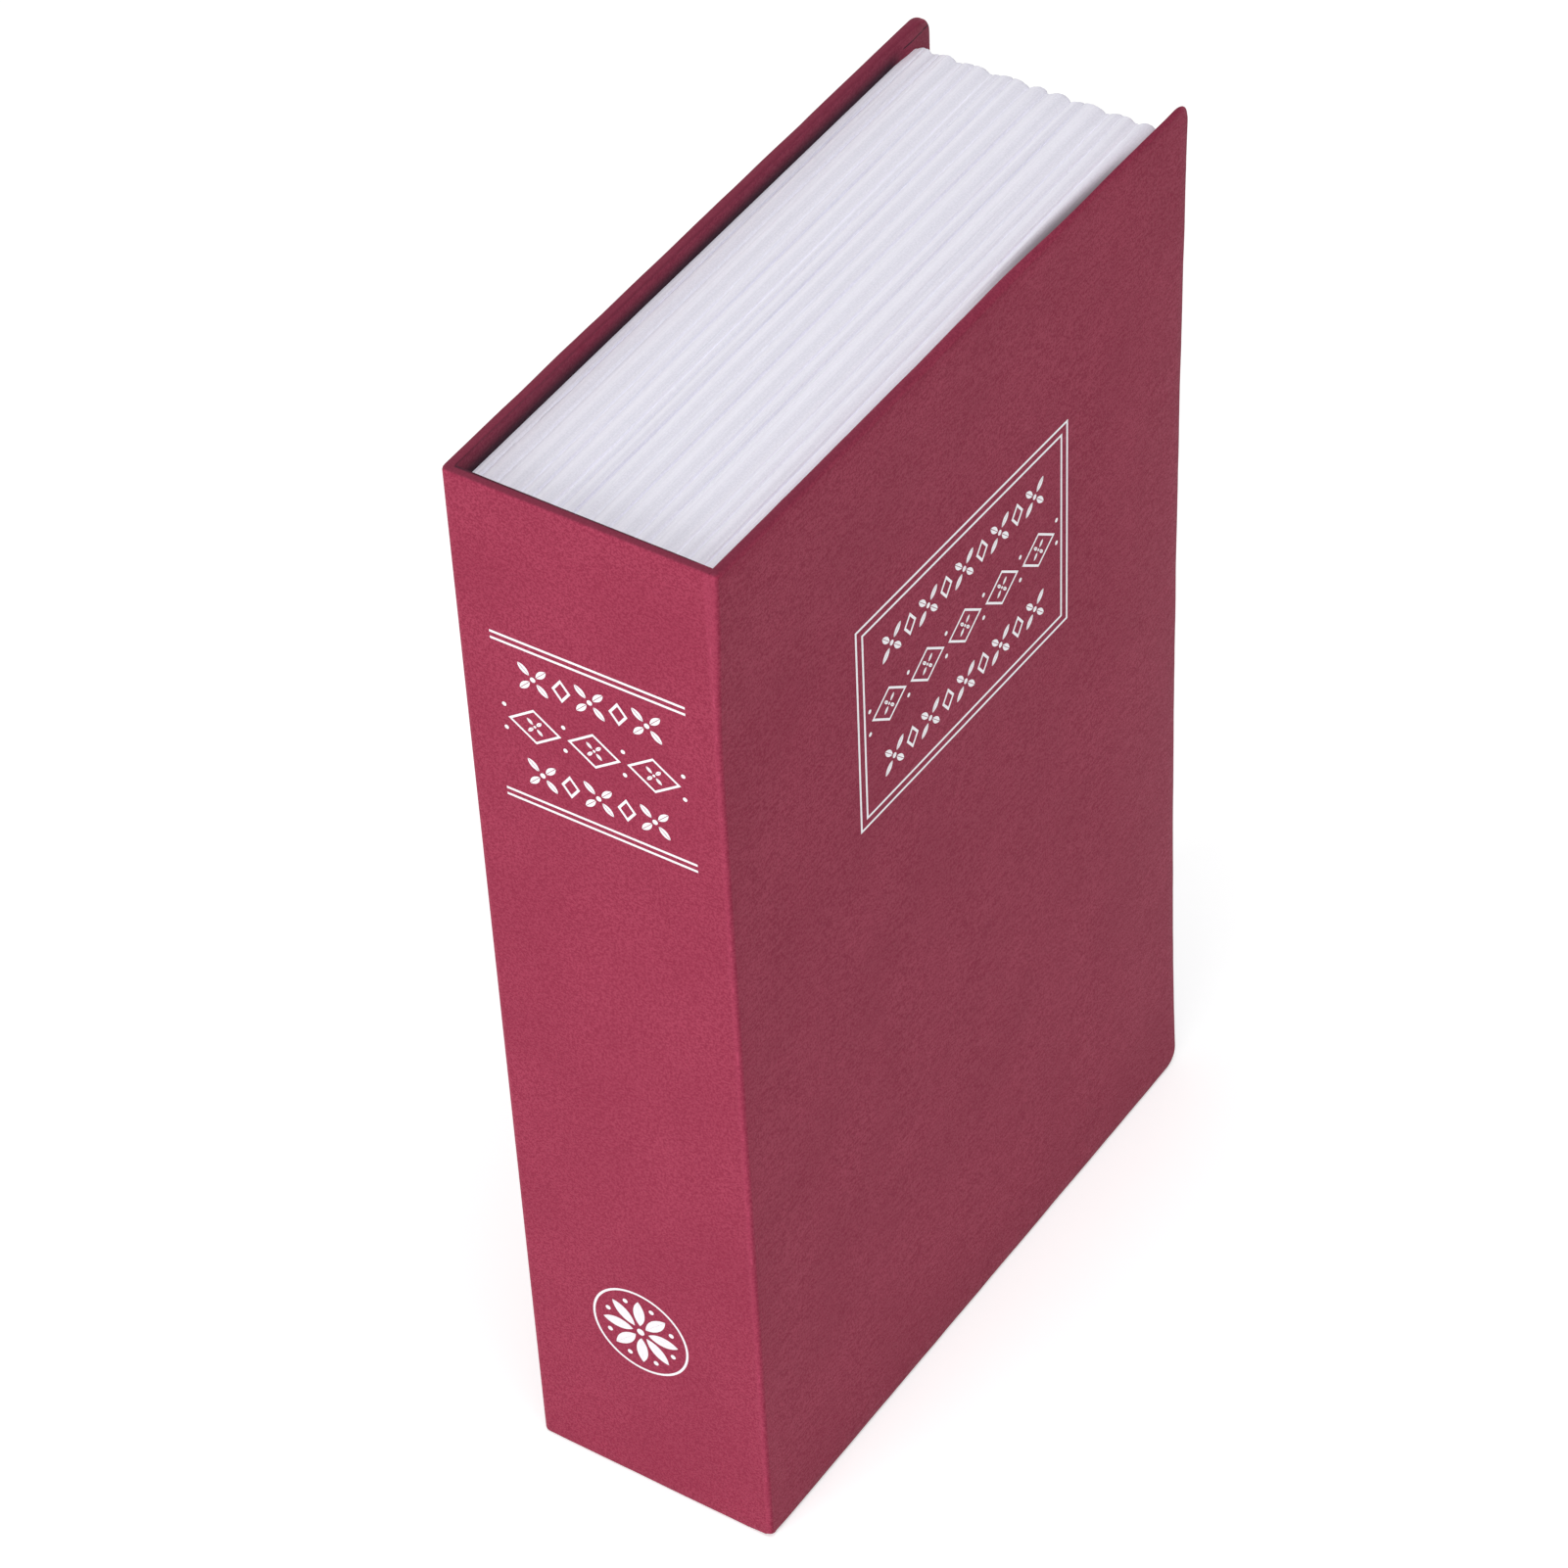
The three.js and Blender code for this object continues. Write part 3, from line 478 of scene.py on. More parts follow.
    def dress(self, material: Material, slot: str, *nodes: str) -> None:
        """Gives the piece its finish and hides the CAD nodes that it stands for.

        Args:
            material: The finish.
            slot: The record's material slot; not used.
            *nodes: The CAD nodes that it replaces.
        """
        self.smooth()
        self.piece.data.materials.clear()
        self.piece.data.materials.append(material)
        if nodes:
            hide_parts(*nodes)
        log.info("%s: %d faces", self.piece.name, len(self.piece.data.polygons))


class Wiring:
    """Adds and joins the nodes of one material or node group."""

    def __init__(self, tree: bpy.types.NodeTree) -> None:
        """Keeps the tree that is wired."""
        self.tree = tree

    def node(self, kind: str, **settings: object) -> Node:
        """Adds a node with its settings."""
        made = self.tree.nodes.new(kind)
        for key, value in settings.items():
            setattr(made, key, value)
        return made

    def feed(self, socket: Socket, value: Feed) -> None:
        """Joins an output to a socket, or sets the socket's own value."""
        if isinstance(value, Socket):
            self.tree.links.new(value, socket)
        else:
            socket.default_value = value

    def math(self, operation: str, first: Feed, second: Feed = 0.0) -> Socket:
        """Adds a Math node.

        Args:
            operation: What it does.
            first: Its first value.
            second: Its second value.

        Returns:
            Its output.
        """
        made = self.node("ShaderNodeMath", operation=operation)
        self.feed(made.inputs[0], first)
        self.feed(made.inputs[1], second)
        return made.outputs[0]

    def times(self, first: Feed, *others: Feed) -> Socket:
        """Multiplies values with each other."""
        for other in others:
            first = self.math("MULTIPLY", first, other)
        return first

    def plus(self, first: Feed, second: Feed) -> Socket:
        """Adds two values."""
        return self.math("ADD", first, second)

    def minus(self, first: Feed, second: Feed) -> Socket:
        """Takes the second value from the first."""
        return self.math("SUBTRACT", first, second)

    def most(self, first: Feed, second: Feed) -> Socket:
        """Gives the larger of two values."""
        return self.math("MAXIMUM", first, second)

    def remap(
        self, value: Feed, low: float, high: float, to_low: float, to_high: float
    ) -> Socket:
        """Maps a value smoothly from one range to another and holds it there.

        Args:
            value: What is mapped.
            low: The value that gives to_low.
            high: The value that gives to_high.
            to_low: The result at low.
            to_high: The result at high.

        Returns:
            The mapped value.
        """
        made = self.node("ShaderNodeMapRange", interpolation_type="SMOOTHSTEP", clamp=True)
        for index, item in enumerate((value, low, high, to_low, to_high)):
            self.feed(made.inputs[index], item)
        return made.outputs[0]

    def rising(self, value: Feed, span: Point, top: float = 1.0) -> Socket:
        """Goes from 0 up to a top over a span of the value."""
        return self.remap(value, *span, 0.0, top)

    def falling(self, value: Feed, span: Point, floor: float = 0.0) -> Socket:
        """Goes from 1 down to a floor over a span of the value."""
        return self.remap(value, *span, 1.0, floor)

    def blend(self, share: Feed, first: Feed, second: Feed) -> Socket:
        """Mixes two colours by a share.

        Args:
            share: How much of the second there is.
            first: The colour at 0.
            second: The colour at 1.

        Returns:
            The mixed colour.
        """
        made = self.node("ShaderNodeMix", data_type="RGBA", clamp_factor=True)
        self.feed(made.inputs[0], share)
        self.feed(made.inputs[6], solid_colour(first))
        self.feed(made.inputs[7], solid_colour(second))
        return made.outputs[2]

    def place(self, scale: Point, turn: Point = (0.0, 0.0, 0.0)) -> Socket:
        """The object's own coordinates, turned and then scaled.

        Args:
            scale: How many pattern units a metre holds along each axis.
            turn: The turn about each axis, in degrees.

        Returns:
            The coordinates.
        """
        source = self.node("ShaderNodeTexCoord").outputs["Object"]
        turned = self.node("ShaderNodeMapping", vector_type="TEXTURE")
        self.feed(turned.inputs["Vector"], source)
        turned.inputs["Rotation"].default_value = [math.radians(angle) for angle in turn]
        sized = self.node("ShaderNodeMapping", vector_type="POINT")
        self.feed(sized.inputs["Vector"], turned.outputs[0])
        sized.inputs["Scale"].default_value = scale
        return sized.outputs[0]

    def millimetres(self) -> Sequence[Socket]:
        """Where a point is, in millimetres: across the book, along it and up it."""
        split = self.node("ShaderNodeSeparateXYZ")
        self.feed(split.inputs[0], self.place((1.0 / MM,) * 3))
        return split.outputs

    def noise(
        self, place: Feed, scale: float, detail: float = 2.0, rough: float = 0.5
    ) -> Socket:
        """Adds a Noise texture.

        Args:
            place: The coordinates.
            scale: Its scale.
            detail: Its number of octaves.
            rough: The strength of each finer octave.

        Returns:
            Its value, about 0.5.
        """
        made = self.node("ShaderNodeTexNoise")
        self.feed(made.inputs["Vector"], place)
        made.inputs["Scale"].default_value = scale
        made.inputs["Detail"].default_value = detail
        made.inputs["Roughness"].default_value = rough
        return made.outputs["Fac"]


def solid_colour(value: Feed) -> Feed:
    """A colour with its alpha, or the socket that it comes from."""
    if isinstance(value, Socket) or len(value) == 4:
        return value
    return (*value, 1.0)


class Effect:
    """A shader node group that several finishes share, built once."""

    title = "effect"
    takes: dict[str, float] = {}
    gives: tuple[str, ...] = ()
    built: dict[str, bpy.types.NodeTree] = {}

    def wire(self, wiring: Wiring, taken: Node, given: Node) -> None:
        """Joins the group's inputs to its outputs."""
        raise NotImplementedError

    def tree(self) -> bpy.types.NodeTree:
        """The group, made on its first use."""
        if self.title not in self.built:
            group = bpy.data.node_groups.new(self.title, "ShaderNodeTree")
            for name, value in self.takes.items():
                socket = group.interface.new_socket(
                    name, in_out="INPUT", socket_type="NodeSocketFloat"
                )
                socket.default_value = value
            for name in self.gives:
                group.interface.new_socket(
                    name, in_out="OUTPUT", socket_type="NodeSocketFloat"
                )
            wiring = Wiring(group)
            taken = wiring.node("NodeGroupInput")
            given = wiring.node("NodeGroupOutput")
            self.wire(wiring, taken, given)
            self.built[self.title] = group
        return self.built[self.title]

    def use(self, wiring: Wiring, **values: float) -> Node:
        """Places the group in a material.

        Args:
            wiring: The material's wiring.
            **values: The inputs that differ from the group's own, with _ for a space.

        Returns:
            The group node.
        """
        made = wiring.node("ShaderNodeGroup", node_tree=self.tree())
        for key, value in values.items():
            made.inputs[key.replace("_", " ").capitalize()].default_value = value
        return made


class LeatherGrain(Effect):
    """Embossed leather grain: fine pebbles with faint strokes that run away from the spine."""

    title = "leather_grain"
    takes = {"Strokes": 0.45, "Pebbles": 0.6}
    gives = ("Height", "Tone")
    pebble_pitch = (2100.0, 1900.0, 2100.0)
    stroke_pitch = (1500.0, 300.0, 1900.0)
    crossing_pitch = (1500.0, 480.0, 1500.0)
    tooth_pitch = (2500.0, 2500.0, 2500.0)
    midtones = (0.36, 0.64)

    def wire(self, wiring: Wiring, taken: Node, given: Node) -> None:
        """Mixes pebbles, strokes and fine tooth into one height."""
        pebbles = wiring.node("ShaderNodeTexVoronoi", feature="SMOOTH_F1")
        wiring.feed(pebbles.inputs["Vector"], wiring.place(self.pebble_pitch, (35, 0, 20)))
        pebbles.inputs["Scale"].default_value = 1.0
        strokes = wiring.noise(wiring.place(self.stroke_pitch, (7, 0, 0)), 1.0, 3.0, 0.6)
        crossing = wiring.noise(wiring.place(self.crossing_pitch, (-22, 0, 0)), 1.0, 2.0, 0.5)
        tooth = wiring.noise(wiring.place(self.tooth_pitch), 1.0, 3.0, 0.7)
        stroked = wiring.plus(wiring.times(strokes, 0.6), wiring.times(crossing, 0.4))
        stroked = wiring.rising(stroked, self.midtones)
        speckled = wiring.rising(tooth, self.midtones)
        height = wiring.plus(
            wiring.times(stroked, taken.outputs["Strokes"]),
            wiring.times(pebbles.outputs["Distance"], taken.outputs["Pebbles"]),
        )
        wiring.feed(given.inputs["Height"], wiring.plus(height, wiring.times(tooth, 0.8)))
        tone = wiring.plus(wiring.times(stroked, 0.35), wiring.times(speckled, 0.65))
        wiring.feed(given.inputs["Tone"], tone)


class Mottle(Effect):
    """Slow changes of tone, as uneven ink and handling leave them."""

    title = "mottle"
    takes = {"Size": 60.0}
    gives = ("Cloud", "Fleck")
    cloud_octaves = 4.0
    cloud_tones = (0.3, 0.7)
    fleck_pitch = 130.0
    fleck_rarity = 0.86
    fleck_rim = (0.012, 0.03)

    def wire(self, wiring: Wiring, taken: Node, given: Node) -> None:
        """Gives a slow cloud and sparse small flecks."""
        place = wiring.place((1.0, 1.0, 1.0))
        cloud = wiring.node("ShaderNodeTexNoise")
        wiring.feed(cloud.inputs["Vector"], place)
        wiring.feed(cloud.inputs["Scale"], taken.outputs["Size"])
        cloud.inputs["Detail"].default_value = self.cloud_octaves
        wiring.feed(
            given.inputs["Cloud"], wiring.rising(cloud.outputs["Fac"], self.cloud_tones)
        )
        flecks = wiring.node("ShaderNodeTexVoronoi", feature="F1")
        wiring.feed(flecks.inputs["Vector"], place)
        flecks.inputs["Scale"].default_value = self.fleck_pitch
        rare = wiring.math("GREATER_THAN", flecks.outputs["Color"], self.fleck_rarity)
        speck = wiring.falling(flecks.outputs["Distance"], self.fleck_rim)
        wiring.feed(given.inputs["Fleck"], wiring.times(speck, rare))


class WrapLightShadeAndSeam(Effect):
    """Painted shade and painted highlight on the wrap near the case's edges, and the dark line of
    a turn-in seam.

    Each pair says where a change begins and where it ends, in millimetres: across the book,
    along it from the spine to the fore edge, or in from the nearer of its head and tail.
    """

    title = "wrap_light_shade_and_seam"
    takes = {"Reach": 3.0}
    gives = ("EndShade", "Edge", "GapShadeAndSeam", "Highlight")
    fore_edge = 74.0
    front_half = (0.0, 10.0)
    fading = (-55.0, 15.0)
    cover_cap = (0.05, 1.3)
    spine_cap = (0.05, 0.6)
    spine_face = (-73.9, -73.5)
    spine_sheet = (-72.6, -71.8)
    back_sheet = (-26.25, -25.8)
    back_lining = (-25.4, -25.1)
    ragged_pitch = (200.0, 200.0, 200.0)
    ragged_reach = 0.8
    fold_line = -73.1
    lean_slope = 0.0197
    front_sheet = (22.95, 23.3)
    leaves_front = (21.9, 22.2)
    covers_start = (-72.0, -71.5)
    covers_end = (60.0, 66.0)
    covers_depth = (0.8, 4.3)
    spine_gap = (-72.7, -72.25)
    spine_front = (21.3, 21.9)
    spine_out = (-71.6, -71.3)
    spine_back = (-25.8, -25.4)
    gap_shade_depth = (4.6, 8.0)
    seam_line = 2.7
    seam_width = (0.08, 0.24)
    seam_start = (64.2, 65.2)
    highlight_start = (23.3, 23.9)
    speck_pitch = (900.0, 900.0, 500.0)
    speck_tones = (0.58, 0.66)
    speck_line = 24.2
    speck_width = (0.1, 0.3)
    speck_face = (-73.6, -73.3)

    def wire(self, wiring: Wiring, taken: Node, given: Node) -> None:
        """Measures the way to the case's edges and to its inner faces."""
        across, run, rise = wiring.millimetres()
        from_middle = wiring.math("ABSOLUTE", wiring.minus(rise, HALF_HEIGHT))
        end = wiring.minus(HALF_HEIGHT, from_middle)
        off_spine = wiring.rising(run, self.spine_sheet)
        back = wiring.times(
            wiring.rising(across, self.back_sheet), wiring.falling(across, self.back_lining)
        )
        # End shade: painted shade on the head and tail faces of the covers and the spine, lighter
        # on the front cover towards its fore edge, and at half strength on the inner side of the
        # back cover.
        faded = wiring.times(
            wiring.rising(across, self.front_half), wiring.remap(run, *self.fading, 0.05, 0.35)
        )
        covers = wiring.times(
            wiring.remap(end, *self.cover_cap, 0.85, 0.0), wiring.minus(1.0, faded), off_spine
        )
        spine = wiring.times(
            wiring.remap(end, *self.spine_cap, 0.85, 0.0),
            wiring.remap(run, *self.spine_face, 0.35, 1.0), wiring.minus(1.0, off_spine),
        )
        end_shade = wiring.most(wiring.plus(covers, spine), wiring.times(back, off_spine, 0.5))
        wiring.feed(given.inputs["EndShade"], end_shade)
        # Edge: a darker tone in a ragged band within about 3 mm of the covers' head, tail and fore
        # edges.
        ragged = wiring.noise(wiring.place(self.ragged_pitch), 1.0, 3.0, 0.6)
        near = wiring.math("MINIMUM", end, wiring.minus(self.fore_edge, run))
        near = wiring.plus(near, wiring.times(ragged, self.ragged_reach))
        near = wiring.minus(near, self.ragged_reach / 2)
        share = wiring.math("DIVIDE", near, taken.outputs["Reach"])
        edge = wiring.falling(share, (0.1, 1.0))
        wiring.feed(given.inputs["Edge"], wiring.times(edge, off_spine))
        # Gap shadow: painted shadow on the inner faces of the covers and the spine, darkest about
        # where the leaves begin and gone by 8 mm in from the head and tail. The seam is a dark
        # line along the back cover's turn-in near the fore edge.
        lean = wiring.times(wiring.minus(run, self.fold_line), self.lean_slope)
        front = wiring.times(
            wiring.falling(wiring.minus(across, lean), self.front_sheet),
            wiring.rising(across, self.leaves_front),
        )
        covers = wiring.times(
            wiring.most(front, back), wiring.rising(run, self.covers_start),
            wiring.falling(run, self.covers_end), wiring.remap(end, *self.covers_depth, 0.1, 1.0),
        )
        spine = wiring.times(
            wiring.rising(run, self.spine_gap), wiring.falling(across, self.spine_front),
            wiring.falling(run, self.spine_out), wiring.rising(across, self.spine_back), 0.8,
        )
        gap_shade = wiring.times(wiring.most(covers, spine), wiring.falling(end, self.gap_shade_depth))
        off_seam = wiring.math("ABSOLUTE", wiring.minus(end, self.seam_line))
        seam = wiring.times(
            wiring.falling(off_seam, self.seam_width), back, wiring.rising(run, self.seam_start)
        )
        wiring.feed(given.inputs["GapShadeAndSeam"], wiring.most(gap_shade, seam))
        # Highlight: a painted highlight on the spine's face along its corner with the front cover,
        # and a line of pale specks along that corner.
        highlight = wiring.times(
            wiring.rising(across, self.highlight_start, 0.3), wiring.falling(run, self.spine_face)
        )
        specks = wiring.noise(wiring.place(self.speck_pitch), 1.0, 2.0, 0.6)
        off_line = wiring.math("ABSOLUTE", wiring.minus(across, self.speck_line))
        specks = wiring.times(
            wiring.rising(specks, self.speck_tones, 0.9),
            wiring.falling(off_line, self.speck_width), wiring.falling(run, self.speck_face),
        )
        wiring.feed(given.inputs["Highlight"], wiring.most(highlight, specks))


class LeafBands(Effect):
    """Painted highlight and painted shade across the leaves: one lit stripe and one shaded stripe
    to a bundle.
    """

    title = "leaf_bands"
    takes = {"Contrast": 1.0}
    gives = ("LightAndShade",)
    drift_pitch = (30.0, 14.0, 14.0)
    drift = 0.5
    crest = 0.3
    trough = 0.72

    def wire(self, wiring: Wiring, taken: Node, given: Node) -> None:
        """Runs a ramp over the block's thickness: a painted highlight before each crest and
        painted shade after it.
        """
        places = LeafBundles().starts()
        low, high = places[0], places[-1]
        across, _run, _rise = wiring.millimetres()
        drift = wiring.noise(wiring.place(self.drift_pitch), 1.0, 1.0, 0.5)
        across = wiring.plus(across, wiring.times(drift, self.drift))
        across = wiring.minus(across, self.drift / 2)
        ramp = wiring.node("ShaderNodeValToRGB")
        ramp.color_ramp.interpolation = "EASE"
        stops = ramp.color_ramp.elements
        stops[0].position, stops[1].position = 0.0, 1.0
        for first, last in zip(places, places[1:]):
            for share, tone in ((self.crest, 0.0), (self.trough, 1.0)):
                place = (first + (last - first) * share - low) / (high - low)
                stops.new(place).color = (tone, tone, tone, 1.0)
        stops[0].color = (1.0, 1.0, 1.0, 1.0)
        stops[len(stops) - 1].color = (1.0, 1.0, 1.0, 1.0)
        wiring.feed(
            ramp.inputs[0], wiring.math("DIVIDE", wiring.minus(across, low), high - low)
        )
        wiring.feed(
            given.inputs["LightAndShade"], wiring.times(ramp.outputs["Color"], taken.outputs["Contrast"])
        )


class LeafLines(Effect):
    """Fine lines that run round the block, one for each leaf."""

    title = "leaf_lines"
    takes = {"Depth": 1.0}
    gives = ("Line", "Tooth")
    coarse_pitch = (2100.0, 9.0, 9.0)
    fine_pitch = (5200.0, 16.0, 16.0)
    tooth_pitch = (2600.0, 2600.0, 2600.0)
    midtones = (0.38, 0.62)

    def wire(self, wiring: Wiring, taken: Node, given: Node) -> None:
        """Stretches two noises along the leaves."""
        coarse = wiring.noise(wiring.place(self.coarse_pitch, (0, 0, 0.25)), 1.0, 3.0, 0.75)
        fine = wiring.noise(wiring.place(self.fine_pitch, (0, 0, -0.2)), 1.0, 2.0, 0.6)
        both = wiring.plus(wiring.times(coarse, 0.6), wiring.times(fine, 0.4))
        lines = wiring.rising(both, self.midtones)
        wiring.feed(given.inputs["Line"], wiring.times(lines, taken.outputs["Depth"]))
        wiring.feed(
            given.inputs["Tooth"], wiring.noise(wiring.place(self.tooth_pitch), 1.0, 3.0, 0.7)
        )


class LeafEdgeShade(Effect):
    """Painted shade on the leaves' front edge near the head and the tail, where the closed cover
    shades the gap beside them.
    """

    title = "leaf_edge_shade"
    takes = {"Reach": 1.7}
    gives = ("EdgeShade",)
    splay_end = 70.0
    full = 22.0
    front_face = (22.32, 22.34)
    rising = (0.0, 38.0)
    fading = (52.0, 67.0)
    end_faces = (111.0, 112.0)

    def wire(self, wiring: Wiring, taken: Node, given: Node) -> None:
        """Measures the way to the front edge, only near the head and the tail."""
        bundles = LeafBundles()
        across, run, rise = wiring.millimetres()
        from_middle = wiring.math("ABSOLUTE", wiring.minus(rise, HALF_HEIGHT))
        splayed = wiring.remap(run, bundles.splay_start, self.splay_end, 0.0, bundles.splay)
        flat = wiring.minus(across, splayed)
        start = wiring.minus(self.full, taken.outputs["Reach"])
        edge_shade = wiring.times(
            wiring.remap(flat, start, self.full, 0.0, 1.0), wiring.falling(flat, self.front_face),
            wiring.rising(run, self.rising), wiring.falling(run, self.fading, 0.2),
            wiring.rising(from_middle, self.end_faces),
        )
        wiring.feed(given.inputs["EdgeShade"], edge_shade)


class OrangePeel(Effect):
    """The small soft bumps of baked powder coat."""

    title = "orange_peel"
    takes = {"Swell": 1.0}
    gives = ("Height",)
    swell_pitch = (900.0, 900.0, 900.0)
    speck_pitch = (3600.0, 3600.0, 3600.0)

    def wire(self, wiring: Wiring, taken: Node, given: Node) -> None:
        """Adds a soft swell to small sharp bumps."""
        swell = wiring.noise(wiring.place(self.swell_pitch), 1.0, 2.0, 0.4)
        specks = wiring.noise(wiring.place(self.speck_pitch), 1.0, 1.0, 0.5)
        height = wiring.times(swell, taken.outputs["Swell"])
        wiring.feed(given.inputs["Height"], wiring.plus(height, specks))


class Brushing(Effect):
    """Fine scratches of a brushed or rolled metal, with a slow cloud of tarnish."""

    title = "brushing"
    takes = {"Strength": 1.0}
    gives = ("Scratch", "Tarnish")
    scratch_pitch = (4200.0, 4200.0, 240.0)
    cloud_pitch = (180.0, 180.0, 180.0)
    midtones = (0.35, 0.7)

    def wire(self, wiring: Wiring, taken: Node, given: Node) -> None:
        """Stretches a fine noise and adds a slow one."""
        scratch = wiring.noise(wiring.place(self.scratch_pitch, (4, 3, 0)), 1.0, 3.0, 0.7)
        wiring.feed(given.inputs["Scratch"], wiring.times(scratch, taken.outputs["Strength"]))
        cloud = wiring.noise(wiring.place(self.cloud_pitch), 1.0, 4.0, 0.6)
        wiring.feed(given.inputs["Tarnish"], wiring.rising(cloud, self.midtones))


@dataclass(frozen=True)
class Finish:
    """What every finish has: a name, and a shader with a bump in front of it."""

    name: str

    def start(self, roughness: float, metallic: float = 0.0) -> tuple:
        """Makes the material, its wiring and its shader.

        Args:
            roughness: The shader's roughness.
            metallic: The shader's metallic value.

        Returns:
            The material, its wiring and its Principled shader.
        """
        made = bpy.data.materials.new(self.name)
        made.use_nodes = True
        wiring = Wiring(made.node_tree)
        shader = made.node_tree.nodes["Principled BSDF"]
        shader.inputs["Roughness"].default_value = roughness
        shader.inputs["Metallic"].default_value = metallic
        return made, wiring, shader

    def bump(self, wiring: Wiring, shader: Node, height: Feed, depth: float,
             strength: float) -> None:
        """Puts a Bump node in front of the shader.

        Args:
            wiring: The material's wiring.
            shader: The Principled shader.
            height: The height that it reads.
            depth: The height's full depth in millimetres.
            strength: How much of it shows.
        """
        made = wiring.node("ShaderNodeBump")
        made.inputs["Distance"].default_value = depth * MM
        made.inputs["Strength"].default_value = strength
        wiring.feed(made.inputs["Height"], height)
        wiring.feed(shader.inputs["Normal"], made.outputs[0])


@dataclass(frozen=True)
class WrapPaper(Finish):
    """Burgundy paper with a leather grain and a thin matt film."""

    name: str = "burgundy_wrap_paper"
    base: Colour = (0.4445, 0.057, 0.1134)
    deep: Colour = (0.278, 0.0225, 0.058)
    # Painted shade colour for the head and tail faces and the inner side of the back cover.
    end_shaded: Colour = (0.165, 0.026, 0.050)
    shadow: Colour = (0.020, 0.008, 0.016)
    # Painted highlight colour for the spine's front corner.
    worn_and_highlit: Colour = (0.54, 0.075, 0.150)
    fleck: Colour = (0.70, 0.58, 0.64)
    clouding: float = 0.3
    edging: float = 0.3
    highlighting: float = 0.8
    end_shading: float = 0.95
    shading: float = 0.94

    def material(self) -> Material:
        """Makes the material."""
        made, wiring, shader = self.start(0.52)
        shader.inputs["Specular IOR Level"].default_value = 0.08
        grain = LeatherGrain().use(wiring)
        mottle = Mottle().use(wiring, size=45.0)
        light_shade_and_seam = WrapLightShadeAndSeam().use(wiring)
        # End shade: painted shade, with the darker edge band added.
        end_shade = wiring.most(light_shade_and_seam.outputs["EndShade"], wiring.times(light_shade_and_seam.outputs["Edge"], self.edging))
        tone: Feed = self.base
        # Layers: grain and cloud tone, painted highlight on the spine's front corner, painted
        # shade on the head and tail faces, painted shadow on the inner faces with a seam line, and
        # pale flecks.
        for share, colour in (
            (wiring.remap(grain.outputs["Tone"], 0.2, 0.8, 0.05, 0.82), self.deep),
            (wiring.times(mottle.outputs["Cloud"], self.clouding), self.deep),
            (wiring.times(light_shade_and_seam.outputs["Highlight"], self.highlighting), self.worn_and_highlit),
            (wiring.times(end_shade, self.end_shading), self.end_shaded),
            (wiring.times(light_shade_and_seam.outputs["GapShadeAndSeam"], self.shading), self.shadow),
            (mottle.outputs["Fleck"], self.fleck),
        ):
            tone = wiring.blend(share, tone, colour)
        wiring.feed(shader.inputs["Base Color"], tone)
        wiring.feed(
            shader.inputs["Roughness"], wiring.remap(grain.outputs["Tone"], 0.0, 1.0, 0.46, 0.6)
        )
        self.bump(wiring, shader, grain.outputs["Height"], 0.07, 0.6)
        return made


@dataclass(frozen=True)
class PressedFoil(Finish):
    """White pigment foil, pressed into the grain."""

    name: str = "white_foil"
    base: Colour = (0.93, 0.92, 0.95)
    thin: Colour = (0.80, 0.72, 0.77)

    def material(self) -> Material:
        """Makes the material."""
        made, wiring, shader = self.start(0.4, 0.5)
        grain = LeatherGrain().use(wiring)
        # The foil shows thinner in patches that follow the grain's tone.
        worn_and_highlit = wiring.remap(grain.outputs["Tone"], 0.55, 1.0, 0.0, 0.45)
        wiring.feed(shader.inputs["Base Color"], wiring.blend(worn_and_highlit, self.base, self.thin))
        self.bump(wiring, shader, grain.outputs["Height"], 0.04, 0.35)
        return made


@dataclass(frozen=True)
class LeafPlastic(Finish):
    """Matt white moulding with the lines of the leaves on it, and painted light and shade across
    them.
    """

    name: str = "moulded_leaves"
    base: Colour = (0.93, 0.915, 1.0)
    # Painted shade colour of the stripes after each crest.
    grey: Colour = (0.855, 0.84, 0.935)
    hollow: Colour = (0.74, 0.73, 0.82)
    # Painted shade colour for the leaves' front edge.
    edge_shaded: Colour = (0.16, 0.15, 0.17)

    def material(self) -> Material:
        """Makes the material."""
        made, wiring, shader = self.start(0.62)
        shader.inputs["Specular IOR Level"].default_value = 0.3
        lines = LeafLines().use(wiring)
        bands = LeafBands().use(wiring)
        band = bands.outputs["LightAndShade"]
        line = wiring.remap(lines.outputs["Line"], 0.4, 1.0, 0.0, 0.42)
        speckle = wiring.remap(lines.outputs["Tooth"], 0.4, 0.6, 0.55, 0.0)
        # Layers: painted shade in stripes, the leaves' lines and specks, fainter under the painted
        # highlight, and painted shade at the front edge.
        tone: Feed = self.base
        for share, colour in (
            (band, self.grey),
            (wiring.times(line, wiring.remap(band, 0.0, 1.0, 0.4, 1.0)), self.hollow),
            (wiring.times(speckle, wiring.remap(band, 0.0, 1.0, 0.35, 1.0)), self.hollow),
            (wiring.times(LeafEdgeShade().use(wiring).outputs["EdgeShade"], 0.8), self.edge_shaded),
        ):
            tone = wiring.blend(share, tone, colour)
        wiring.feed(shader.inputs["Base Color"], tone)
        height = wiring.minus(
            wiring.times(lines.outputs["Tooth"], 0.3), wiring.times(lines.outputs["Line"], 0.7)
        )
        self.bump(wiring, shader, height, 0.1, 0.4)
        return made


